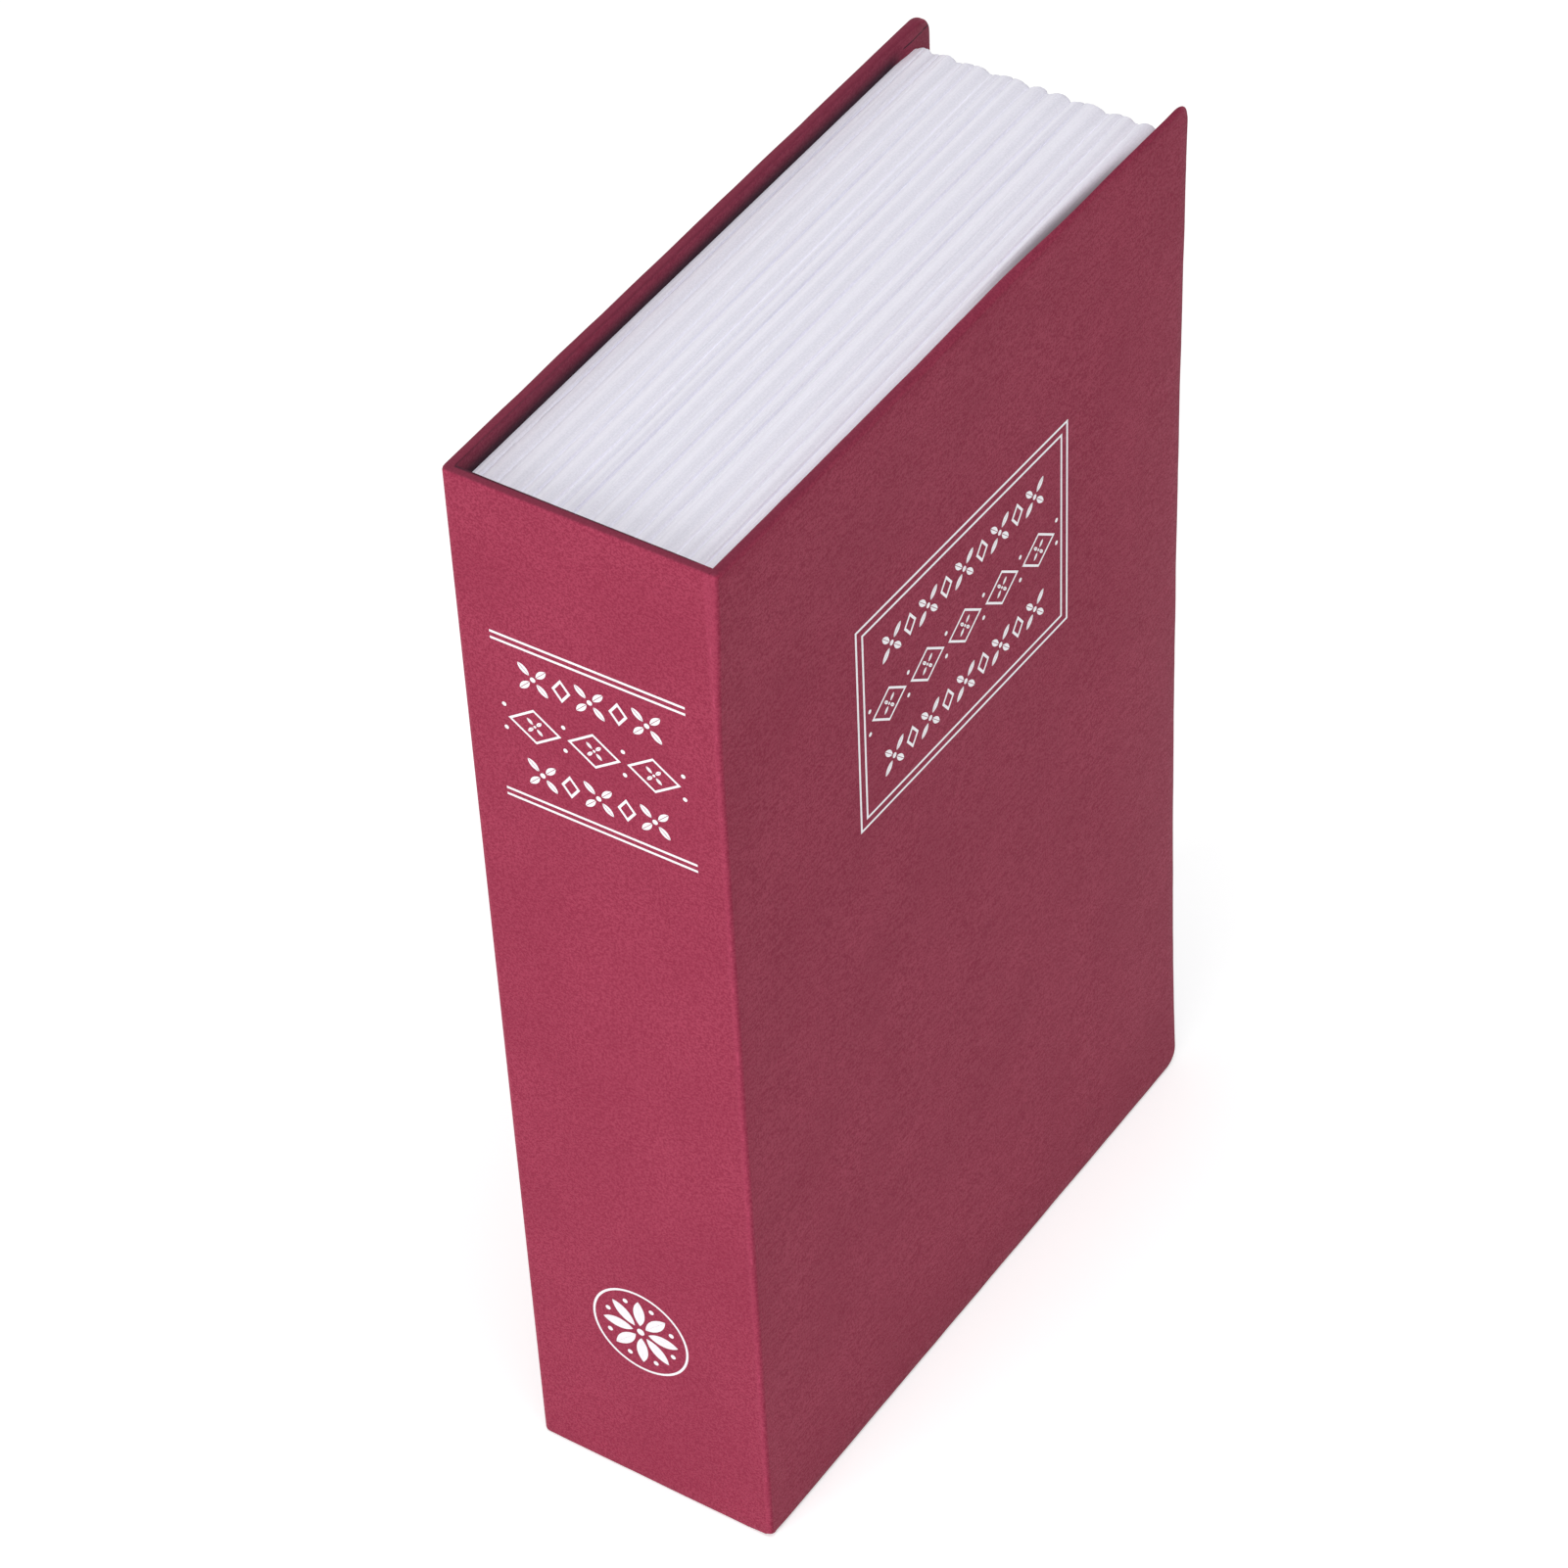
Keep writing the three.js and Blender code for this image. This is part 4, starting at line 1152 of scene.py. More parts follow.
@dataclass(frozen=True)
class PlainPaper(Finish):
    """Uncoated paper or board, with short fibres in it."""

    name: str = "endpaper"
    base: Colour = (0.78, 0.76, 0.70)
    fibre: Colour = (0.66, 0.63, 0.56)

    def material(self) -> Material:
        """Makes the material."""
        made, wiring, shader = self.start(0.85)
        fibres = wiring.noise(wiring.place((2200.0, 700.0, 700.0), (20, 0, 15)), 1.0, 4.0, 0.7)
        mottle = Mottle().use(wiring, size=70.0)
        tone = wiring.blend(wiring.remap(fibres, 0.4, 0.7, 0.0, 0.6), self.base, self.fibre)
        tone = wiring.blend(wiring.times(mottle.outputs["Cloud"], 0.25), tone, self.fibre)
        wiring.feed(shader.inputs["Base Color"], tone)
        self.bump(wiring, shader, fibres, 0.05, 0.4)
        return made


@dataclass(frozen=True)
class PowderCoat(Finish):
    """Black powder coat on steel sheet."""

    name: str = "black_powder_coat"
    base: Colour = (0.016, 0.017, 0.019)
    dusty: Colour = (0.045, 0.045, 0.047)

    def material(self) -> Material:
        """Makes the material."""
        made, wiring, shader = self.start(0.42)
        peel = OrangePeel().use(wiring)
        mottle = Mottle().use(wiring, size=90.0)
        dust = wiring.times(mottle.outputs["Cloud"], 0.2)
        wiring.feed(shader.inputs["Base Color"], wiring.blend(dust, self.base, self.dusty))
        wiring.feed(
            shader.inputs["Roughness"], wiring.remap(mottle.outputs["Cloud"], 0.0, 1.0, 0.36, 0.52)
        )
        self.bump(wiring, shader, peel.outputs["Height"], 0.06, 0.45)
        return made


@dataclass(frozen=True)
class PlatedMetal(Finish):
    """Plated or bare metal with fine scratches and a little tarnish."""

    name: str = "zinc_plate"
    base: Colour = (0.60, 0.61, 0.63)
    dull: Colour = (0.42, 0.43, 0.44)
    bright: float = 0.28
    matt: float = 0.48

    def material(self) -> Material:
        """Makes the material."""
        made, wiring, shader = self.start(self.bright, 1.0)
        brushing = Brushing().use(wiring)
        tarnish = brushing.outputs["Tarnish"]
        wiring.feed(shader.inputs["Base Color"], wiring.blend(tarnish, self.base, self.dull))
        wiring.feed(
            shader.inputs["Roughness"], wiring.remap(tarnish, 0.0, 1.0, self.bright, self.matt)
        )
        self.bump(wiring, shader, brushing.outputs["Scratch"], 0.02, 0.35)
        return made


@dataclass
class Finishes:
    """Every finish of the book safe, made once."""

    wrap: Material = field(default_factory=lambda: WrapPaper().material())
    foil: Material = field(default_factory=lambda: PressedFoil().material())
    leaves: Material = field(default_factory=lambda: LeafPlastic().material())
    endpaper: Material = field(default_factory=lambda: PlainPaper().material())
    board: Material = field(default_factory=lambda: PlainPaper(
        "grey_board", (0.30, 0.28, 0.24), (0.20, 0.19, 0.17)).material())
    coat: Material = field(default_factory=lambda: PowderCoat().material())
    zinc: Material = field(default_factory=lambda: PlatedMetal().material())
    chrome: Material = field(default_factory=lambda: PlatedMetal(
        "polished_chrome", (0.72, 0.73, 0.75), (0.60, 0.61, 0.63), 0.10, 0.2).material())
    brass: Material = field(default_factory=lambda: PlatedMetal(
        "wafer_brass", (0.64, 0.45, 0.19), (0.46, 0.32, 0.14), 0.25, 0.42).material())


@dataclass(frozen=True)
class Handling:
    """The small unevenness that the folds, the glue and handling leave near the case's edges.

    Its sizes, like the case's, are measured from the middle between the two covers.
    """

    ripple: float = 0.08
    pitch: float = 11.0
    finer: float = 5.0
    fine_share: float = 0.35
    reach: float = 7.0
    height: float = HEIGHT
    fore_edge: float = 73.95
    spine: float = 73.95
    face: float = 26.25

    def pressed(self, spot: Vector) -> Vector:
        """Where a corner of the wrap lies once the case has been made and handled.

        Args:
            spot: Its ideal place.

        Returns:
            Its real place, never outside the case's box.
        """
        head = 1.0 - min(spot.z, self.height - spot.z) / self.reach
        fore = 1.0 - (self.fore_edge - spot.y) / self.reach
        nearness = eased(max(head, fore))
        if nearness <= 0.0:
            return spot
        moved = spot + noise.noise_vector(spot / self.pitch) * self.ripple * nearness
        fine = noise.noise_vector(spot / (self.pitch / self.finer))
        moved += fine * self.ripple * self.fine_share * nearness
        moved.x = min(self.face, max(-self.face, moved.x))
        moved.y = min(self.fore_edge, max(-self.spine, moved.y))
        moved.z = min(self.height, max(0.0, moved.z))
        return moved


@dataclass(frozen=True)
class FrontLean:
    """How the closed front cover stands: a little open, and bowed in along its fore edge."""

    fold: Span = (24.65, -73.1)
    rise: float = 2.9
    fore_edge: float = 74.0
    height: float = HEIGHT
    bow: float = 1.5
    bow_start: float = 44.0
    bow_skew: float = 0.79
    flare: float = 1.4
    flare_start: float = 198.0
    flare_run: float = 120.0
    inner_face: float = 22.85
    pinch: float = 1.2
    pinch_depth: float = 1.4
    pinch_run: Span = (8.0, 45.0)
    pinch_rise: Span = (229.0, 238.0)

    def matrix(self) -> Matrix:
        """Takes the cover from square to where it leans."""
        angle = math.asin(self.rise / (self.fore_edge - self.fold[1]))
        return turned_about((*self.fold, 0.0), -angle)

    def bowed(self, spot: Vector) -> Vector:
        """Draws a corner of the leaning cover in, most at mid-height and at the fore edge.

        Args:
            spot: Its place on the flat cover.

        Returns:
            Its place on the bowed one.
        """
        rise = min(1.0, max(0.0, spot.z / self.height)) ** self.bow_skew
        run = max(0.0, (spot.y - self.bow_start) / (self.fore_edge - self.bow_start))
        drawn = self.pinched(spot)
        drawn.x -= self.bow * 4.0 * rise * (1.0 - rise) * run * run
        share = 1.0 - ((spot.y - self.fold[1]) / self.flare_run) ** 2
        return self.flared(drawn, max(0.0, share))

    def pinched(self, spot: Vector) -> Vector:
        """Thins the cover towards its head at the fore edge, from its inner side.

        Args:
            spot: A corner of the leaning cover.

        Returns:
            Its place on the thinner edge.
        """
        slope = self.rise / (self.fore_edge - self.fold[1])
        depth = spot.x - (spot.y - self.fold[1]) * slope - self.inner_face
        (first, last), (low, high) = self.pinch_run, self.pinch_rise
        share = eased((spot.y - first) / (last - first)) * eased((spot.z - low) / (high - low))
        share *= min(1.0, max(0.0, 1.0 - depth / self.pinch_depth))
        return spot + Vector((self.pinch * share, 0.0, 0.0))

    def flared(self, spot: Vector, share: float) -> Vector:
        """Spreads the head outwards, as pulling a book off a shelf by its head does.

        Args:
            spot: A corner of the case.
            share: How much of the flare is left there.

        Returns:
            Its place on the flared case.
        """
        rise = eased((spot.z - self.flare_start) / (self.height - self.flare_start))
        return spot + Vector((self.flare * rise * share, 0.0, 0.0))


@dataclass
class BookCase:
    """The hardback case: one sheet of wrap over three boards, turned in at the edges.

    It is built about the middle between its covers, and each piece is then set in its place.
    """

    middle: float = -1.45
    height: float = HEIGHT
    fore_edge: float = 73.95
    face: float = 26.25
    inner_face: float = 24.3
    spine_inner: float = -72.0
    hinge_x: float = 24.75
    hinge_y: float = -72.45
    back_tip: float = 4.5
    front_tip: float = 4.2
    corner_steps: int = 10
    outer_round: float = 0.7
    front_round: float = 1.3
    inner_round: float = 0.55
    round_steps: int = 4
    turn_in: float = 15.0
    sheet: float = 0.28
    roll_steps: int = 18
    roll_radius: float = 1.5
    joint_radius: float = 0.95
    blunt: float = 0.8
    blunt_reach: float = 3.0
    blunt_rise: float = 4.0
    grid: float = 4.0
    seam_step: float = 0.3
    seam_slope: float = 0.45
    seam_reach: float = 9.0
    seam_full: float = 1.0
    lap_fade: Span = (6.0, 5.0)
    spine_depth: float = 1.0
    spine_flare: float = 6.0
    handling: Handling = field(default_factory=Handling)
    lean: FrontLean = field(default_factory=FrontLean)

    def cover_skin(self, name: str, side: int, start: float) -> Shape:
        """One cover's wrap as a skin, open towards the spine and behind the turn-ins.

        Args:
            name: The piece's name.
            side: 1 for the front cover and -1 for the back one.
            start: Where it begins, towards the spine.

        Returns:
            The skin.
        """
        low, high = sorted((side * self.inner_face, side * self.face))
        middle = (self.inner_face + self.face) / 2
        skin = Shape.block(name, (low, start, 0.0), (high, self.fore_edge, self.height))
        tip = self.front_tip if side > 0 else self.back_tip
        skin.bevel(fore_corner, tip, self.corner_steps)

        def on_rim(spot: Spot, outside: bool) -> bool:
            flat = abs(spot.way.x) < TOUCH and spot.middle.y > start + TOUCH
            return flat and (side * spot.middle.x > middle) == outside

        skin.bevel(
            lambda spot: on_rim(spot, True),
            self.front_round if side > 0 else self.outer_round, self.round_steps,
        )
        skin.bevel(
            lambda spot: on_rim(spot, False)
            and abs(side * spot.middle.x - self.inner_face) < TOUCH,
            self.inner_round, self.round_steps,
        )
        skin.remove(lambda spot: spot.middle.y < start + TOUCH)
        skin.slices(Axis.Z, (self.turn_in, self.height - self.turn_in))
        skin.slices(Axis.Y, (self.fore_edge - self.turn_in,))
        skin.remove(
            lambda spot: abs(side * spot.middle.x - self.inner_face) < TOUCH
            and spot.middle.y < self.fore_edge - self.turn_in
            and self.turn_in < spot.middle.z < self.height - self.turn_in
        )
        self.fold_seams(skin)
        return skin

    def fold_seams(self, skin: Shape) -> None:
        """Cuts the lines that the mitred turn-ins need, at 45 degrees at both corners."""
        for end, way in ((self.height, 1.0), (0.0, -1.0)):
            for offset in (0.0, self.seam_slope):
                skin.slice(
                    (0.0, self.fore_edge, end - way * offset), (0.0, 1.0, -way)
                )

    def lapped(self, spot: Vector) -> Vector:
        """Lifts the head and tail turn-ins where they lap the fore edge's.

        Args:
            spot: A corner of the skin.

        Returns:
            Its place with the lap.
        """
        if abs(spot.x) > self.inner_face + self.inner_round / 2:
            return spot
        from_fore = self.fore_edge - spot.y
        from_end = min(spot.z, self.height - spot.z)
        over = (from_fore - from_end) / self.seam_slope
        if from_fore > self.turn_in or over < 0.5:
            return spot
        lap_start, lap_run = self.lap_fade
        fade = eased(1.0 - max(from_end - self.seam_full, 0.0) / self.seam_reach)
        fade *= eased(1.0 - (from_fore - lap_start) / lap_run)
        inward = -math.copysign(self.seam_step * fade, spot.x)
        return spot + Vector((inward, 0.0, 0.0))

    def squared(self, spot: Vector, centre: Point, radius: float, left: float) -> Vector:
        """Presses a corner that was rolled round an upright axis nearly square.

        Args:
            spot: A corner of the skin.
            centre: The axis across and from the spine.
            radius: The radius that it was rolled with.
            left: The radius that is left.

        Returns:
            Its place on the squarer corner.
        """
        across, out = spot.x - centre[0], spot.y - centre[1]
        reach = math.hypot(across, out)
        if reach < TOUCH or out > TOUCH or across * centre[0] < -TOUCH:
            return spot
        first, second = abs(across) / reach, abs(out) / reach
        inset = radius - left
        if second * radius <= first * inset:
            limit = radius / first
        elif first * radius <= second * inset:
            limit = radius / second
        else:
            both = inset * (first + second)
            limit = both + math.sqrt(both * both - 2 * inset * inset + left ** 2)
        share = limit / radius
        return Vector((centre[0] + across * share, centre[1] + out * share, spot.z))

    def filled(self, spot: Vector) -> Vector:
        """Fills the small pit that the roll leaves over its own axis at the head and tail."""
        near = spot.x <= -self.inner_face + TOUCH and spot.y <= self.spine_inner + TOUCH
        reach = math.hypot(spot.x + self.inner_face, spot.y - self.spine_inner)
        from_end = min(spot.z, self.height - spot.z)
        if not near or reach > self.inner_round or from_end > self.inner_round + TOUCH:
            return spot
        end = self.height if spot.z > self.height / 2 else 0.0
        return Vector((spot.x, spot.y, end))

    def blunted(self, spot: Vector) -> Vector:
        """Blunts the tail's corner between the spine and the front cover, where it is set down."""
        reach = math.hypot(spot.x - self.face, spot.y + self.fore_edge) / self.blunt_reach
        lift = self.blunt * eased(1.0 - reach) * max(0.0, 1.0 - spot.z / self.blunt_rise)
        return spot + Vector((0.0, 0.0, lift))

    def grid_stations(self, low: float, high: float) -> list[float]:
        """Evenly spaced stations strictly between two values."""
        count = max(1, round((high - low) / self.grid))
        return [low + (high - low) * step / count for step in range(1, count)]

    def settle(self, shape: Shape) -> None:
        """Cuts a skin into small fields, presses it, and gives it its wall and its place."""
        shape.slices(Axis.Z, self.grid_stations(0.0, self.height))
        shape.merge()
        shape.nudge(self.lapped)
        shape.nudge(self.blunted)
        shape.nudge(self.handling.pressed)
        shape.face_outwards()
        shape.wall(self.sheet)
        shape.move(Matrix.Translation((self.middle * MM, 0.0, 0.0)))

    def fixed_wrap(self) -> Shape:
        """The wrap of the back cover and the spine, one sheet rolled round the corner."""
        skin = self.cover_skin("case_wrap", -1, self.spine_inner)
        skin.spin(
            lambda spot: abs(spot.middle.y - self.spine_inner) < TOUCH,
            (-self.inner_face, self.spine_inner, 0.0), Axis.Z, -90.0, self.roll_steps,
        )
        skin.merge()
        skin.extrude(
            Pick.EDGE,
            lambda spot: abs(spot.middle.x + self.inner_face) < HAIR
            and spot.middle.y < self.spine_inner + TOUCH and abs(spot.way.x) < 0.5,
            (self.hinge_x + self.inner_face, 0.0, 0.0),
        )
        skin.nudge(self.filled)
        skin.nudge(lambda spot: self.squared(
            spot, (-self.inner_face, self.spine_inner), self.face - self.inner_face,
            self.roll_radius,
        ))
        skin.slices(Axis.Y, self.grid_stations(self.spine_inner, self.fore_edge))
        skin.slices(Axis.X, self.grid_stations(-self.inner_face, self.hinge_x))
        self.settle(skin)
        start, edge = self.spine_flare, self.spine_inner + self.spine_depth
        run = self.hinge_x + self.middle - start
        skin.nudge(lambda spot: self.lean.flared(
            spot, eased_from(spot.x, start, run) if spot.y < edge else 0.0
        ))
        return skin

    def front_wrap(self) -> Shape:
        """The wrap of the front cover, leaning and bowed."""
        skin = self.cover_skin("front_wrap", 1, self.hinge_y)
        skin.slices(Axis.Y, self.grid_stations(self.hinge_y, self.fore_edge))
        self.settle(skin)
        skin.move(self.lean.matrix())
        skin.nudge(self.lean.bowed)
        return skin

    def joint_wrap(self) -> Shape:
        """The stretch of wrap that bends between the spine and the front cover."""
        radius = self.face - self.hinge_x
        skin = Shape.sheet("joint_wrap", (self.hinge_y - radius, 0.0), (self.hinge_y, self.height))
        skin.bevel(
            lambda spot: spot.middle.x < self.hinge_y - radius / 2,
            (self.outer_round + self.front_round) / 2, self.round_steps, Pick.CORNER,
        )
        skin.move(facing_front(self.hinge_x))
        with skin.picked(Pick.FACE, everywhere):
            bpy.ops.mesh.delete(type="ONLY_FACE")
        skin.remove(
            lambda spot: abs(spot.middle.y - self.hinge_y) < TOUCH and abs(spot.way.z) > ALONG,
            Pick.EDGE,
        )
        skin.spin(
            everywhere, (self.hinge_x, self.hinge_y, 0.0), Axis.Z, -90.0, self.roll_steps
        )
        skin.nudge(lambda spot: self.squared(
            spot, (self.hinge_x, self.hinge_y), radius, self.joint_radius
        ))
        self.settle(skin)
        skin.nudge(lambda spot: self.lean.flared(spot, 1.0))
        return skin

    def front_layer(self, node: str, name: str, material: Material, slot: str) -> None:
        """Copies one of the front cover's inner layers and bows it with the wrap.

        Args:
            node: Its CAD node.
            name: The copy's name.
            material: Its finish.
            slot: The record's material slot.
        """
        layer = Shape.copy_of_node(name, node)
        layer.slices(Axis.Y, self.grid_stations(self.hinge_y, self.fore_edge))
        layer.slices(Axis.Z, self.grid_stations(0.0, self.height))
        layer.nudge(self.lean.bowed)
        layer.dress(material, slot, node)
        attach(layer.piece, "front_cover")

    def build(self, finishes: Finishes) -> None:
        """Makes the wrap's three stretches and the layers inside them.

        Args:
            finishes: The materials.
        """
        fixed = self.fixed_wrap()
        fixed.dress(finishes.wrap, "wrap", "back_cover_wrap", "spine_wrap")
        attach(fixed.piece, "root")
        front = self.front_wrap()
        front.dress(finishes.wrap, "wrap", "front_cover_wrap")
        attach(front.piece, "front_cover")
        joint = self.joint_wrap()
        joint.dress(finishes.wrap, "wrap", "front_hinge_strip")
        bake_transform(joint.piece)
        self.front_layer("front_board", "stiff_front_board", finishes.board, "board")
        self.front_layer("front_endpaper", "front_pastedown", finishes.endpaper, "endpaper")
        for node in ("back_board", "spine_board"):
            repaint(node, finishes.board)
        repaint("back_endpaper", finishes.endpaper)


def repaint(node: str, material: Material) -> None:
    """Gives a CAD node that stays a better finish.

    Args:
        node: The CAD node.
        material: Its finish.
    """
    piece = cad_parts[node]
    for place in piece.material_slots:
        place.material = material
    log.info("%s: repainted", node)


@dataclass
class HandTools:
    """The binder's small tools, each modelled once and then copied."""

    line: float
    dot_radius: float = 0.55
    dot_sides: int = 16
    lozenge: tuple[float, int, float] = (1.9, 4, 1.35)
    wide_lozenge: tuple[float, int, float] = (6.0, 4, 0.72)
    ring: tuple[float, int] = (10.6, 64)
    leaf: Span = (3.1, 1.35)
    petal: Span = (6.6, 2.5)
    leaf_sides: int = 96

    def __post_init__(self) -> None:
        """Models the tools from their sizes."""
        self.dot_tool = Shape.disc("dot_tool", self.dot_radius, self.dot_sides)
        self.lozenge_tool = self.hollow(Shape.disc("lozenge_tool", *self.lozenge))
        self.wide_tool = self.hollow(Shape.disc("wide_lozenge_tool", *self.wide_lozenge))
        self.ring_tool = self.hollow(Shape.disc("ring_tool", *self.ring))
        self.leaf_tool = self.pointed_leaf(*self.leaf)
        self.petal_tool = self.pointed_leaf(*self.petal)

    def hollow(self, disc: Shape) -> Shape:
        """Leaves only a disc's outline."""
        disc.inset(everywhere, self.line)
        disc.remove(lambda spot: spot.middle.length < self.line / 2)
        return disc

    def pointed_leaf(self, length: float, width: float) -> Shape:
        """A flat leaf with two pointed ends, from two slices of a disc.

        Args:
            length: Its length, along X.
            width: Its greatest width.

        Returns:
            The leaf, with one point on the origin.
        """
        rise = width / 2
        radius = (length * length / 4 + rise * rise) / (2 * rise)
        half = Shape.disc("leaf_tool", radius, self.leaf_sides)
        half.move(Matrix.Translation((length / 2 * MM, (rise - radius) * MM, 0.0)))
        half.slice((0.0, 0.0, 0.0), (0.0, -1.0, 0.0), clear=True)
        other = half.copy("leaf_tool_half")
        other.move(
            Matrix.Translation((length * MM, 0.0, 0.0)) @ Matrix.Rotation(math.pi, 4, "Z")
        )
        half.join([other])
        half.merge()
        return half

    def put_away(self) -> None:
        """Deletes the tools, once their copies are pressed."""
        for tool in vars(self).values():
            if isinstance(tool, Shape):
                bpy.data.objects.remove(tool.piece)


@dataclass
class FoilPress:
    """White foil drawn flat, tool by tool, and then stood up on one face of the case."""

    name: str
    tools: HandTools
    leaf_start: float = 0.95
    lozenge_size: float = 0.9
    inner_size: float = 0.52
    pair_size: float = 0.8
    pair_rise: float = 2.6
    heart_size: float = 1.5
    petal_start: float = 1.7
    petal_dots: float = 7.6
    parts: list[Shape] = field(default_factory=list)

    def stamp(self, tool: Shape, u: float, v: float, degrees: float = 0.0,
              size: float = 1.0) -> None:
        """Presses one tool.

        Args:
            tool: The tool.
            u: Its place across.
            v: Its place up.
            degrees: Its turn.
            size: Its scale.
        """
        stamped = tool.copy("print")
        stamped.move(
            Matrix.Translation((u * MM, v * MM, 0.0))
            @ Matrix.Rotation(math.radians(degrees), 4, "Z")
            @ Matrix.Scale(size, 4)
        )
        self.parts.append(stamped)

    def rule(self, low_u: float, high_u: float, v: float, line: float) -> None:
        """Draws a straight line across."""
        self.parts.append(
            Shape.sheet("rule", (low_u, v - line / 2), (high_u, v + line / 2))
        )

    def border(self, low: Point, high: Point, line: float) -> None:
        """Draws a rectangle's outline.

        Args:
            low: Its lower left corner.
            high: Its upper right corner.
            line: The line's width.
        """
        outline = Shape.sheet("border", low, high)
        outline.inset(everywhere, line)
        middle = (Vector(low) + Vector(high)) / 2
        outline.remove(lambda spot: (spot.middle.xy - middle).length < line)
        self.parts.append(outline)

    def fleuron(self, u: float, v: float, size: float = 1.0) -> None:
        """Presses four leaves about a dot."""
        start = self.leaf_start * size
        for degrees in (45, 135, 225, 315):
            angle = math.radians(degrees)
            self.stamp(
                self.tools.leaf_tool, u + math.cos(angle) * start, v + math.sin(angle) * start,
                degrees, size,
            )
        self.stamp(self.tools.dot_tool, u, v, 0.0, size)

    def small_row(self, u: float, v: float, pitch: float, count: int) -> None:
        """Presses a row of fleurons with lozenges between them.

        Args:
            u: The row's middle.
            v: Its height.
            pitch: The way from one fleuron to the next.
            count: How many fleurons it has.
        """
        first = u - pitch * (count - 1) / 2
        for index in range(count):
            self.fleuron(first + pitch * index, v)
        for index in range(count - 1):
            self.stamp(self.tools.lozenge_tool, first + pitch * (index + 0.5), v)

    def large_row(self, u: float, v: float, pitch: float, count: int) -> None:
        """Presses a row of wide lozenges, each with a fleuron in it and dots between.

        Args:
            u: The row's middle.
            v: Its height.
            pitch: The way from one lozenge to the next.
            count: How many lozenges it has.
        """
        first = u - pitch * (count - 1) / 2
        for index in range(count):
            middle = first + pitch * index
            self.stamp(self.tools.wide_tool, middle, v, 0.0, self.lozenge_size)
            self.fleuron(middle, v, self.inner_size)
        for index in range(count + 1):
            between = first + pitch * (index - 0.5)
            for rise in (-self.pair_rise, self.pair_rise):
                self.stamp(self.tools.dot_tool, between, v + rise, 0.0, self.pair_size)

    def rosette(self, u: float, v: float, petals: int) -> None:
        """Presses a ring with petals and dots inside it.

        Args:
            u: Its middle across.
            v: Its middle up.
            petals: How many petals it has.
        """
        self.stamp(self.tools.ring_tool, u, v)
        self.stamp(self.tools.dot_tool, u, v, 0.0, self.heart_size)
        for index in range(petals):
            degrees = 360.0 * index / petals + 90.0
            angle = math.radians(degrees)
            between = angle + math.pi / petals
            for tool, way, reach, turn in (
                (self.tools.petal_tool, angle, self.petal_start, degrees),
                (self.tools.dot_tool, between, self.petal_dots, 0.0),
            ):
                self.stamp(tool, u + math.cos(way) * reach, v + math.sin(way) * reach, turn)

    def press(self, thickness: float, face: Matrix) -> Shape:
        """Joins the drawing, gives it the foil's thickness and stands it on its face.

        Args:
            thickness: The foil's thickness.
            face: Takes the flat drawing to its place.

        Returns:
            The finished foil.
        """
        first, *others = self.parts
        first.join(others)
        first.piece.name = self.name
        first.piece.data.name = self.name
        first.wall(thickness, 1.0)
        first.move(face)
        return first


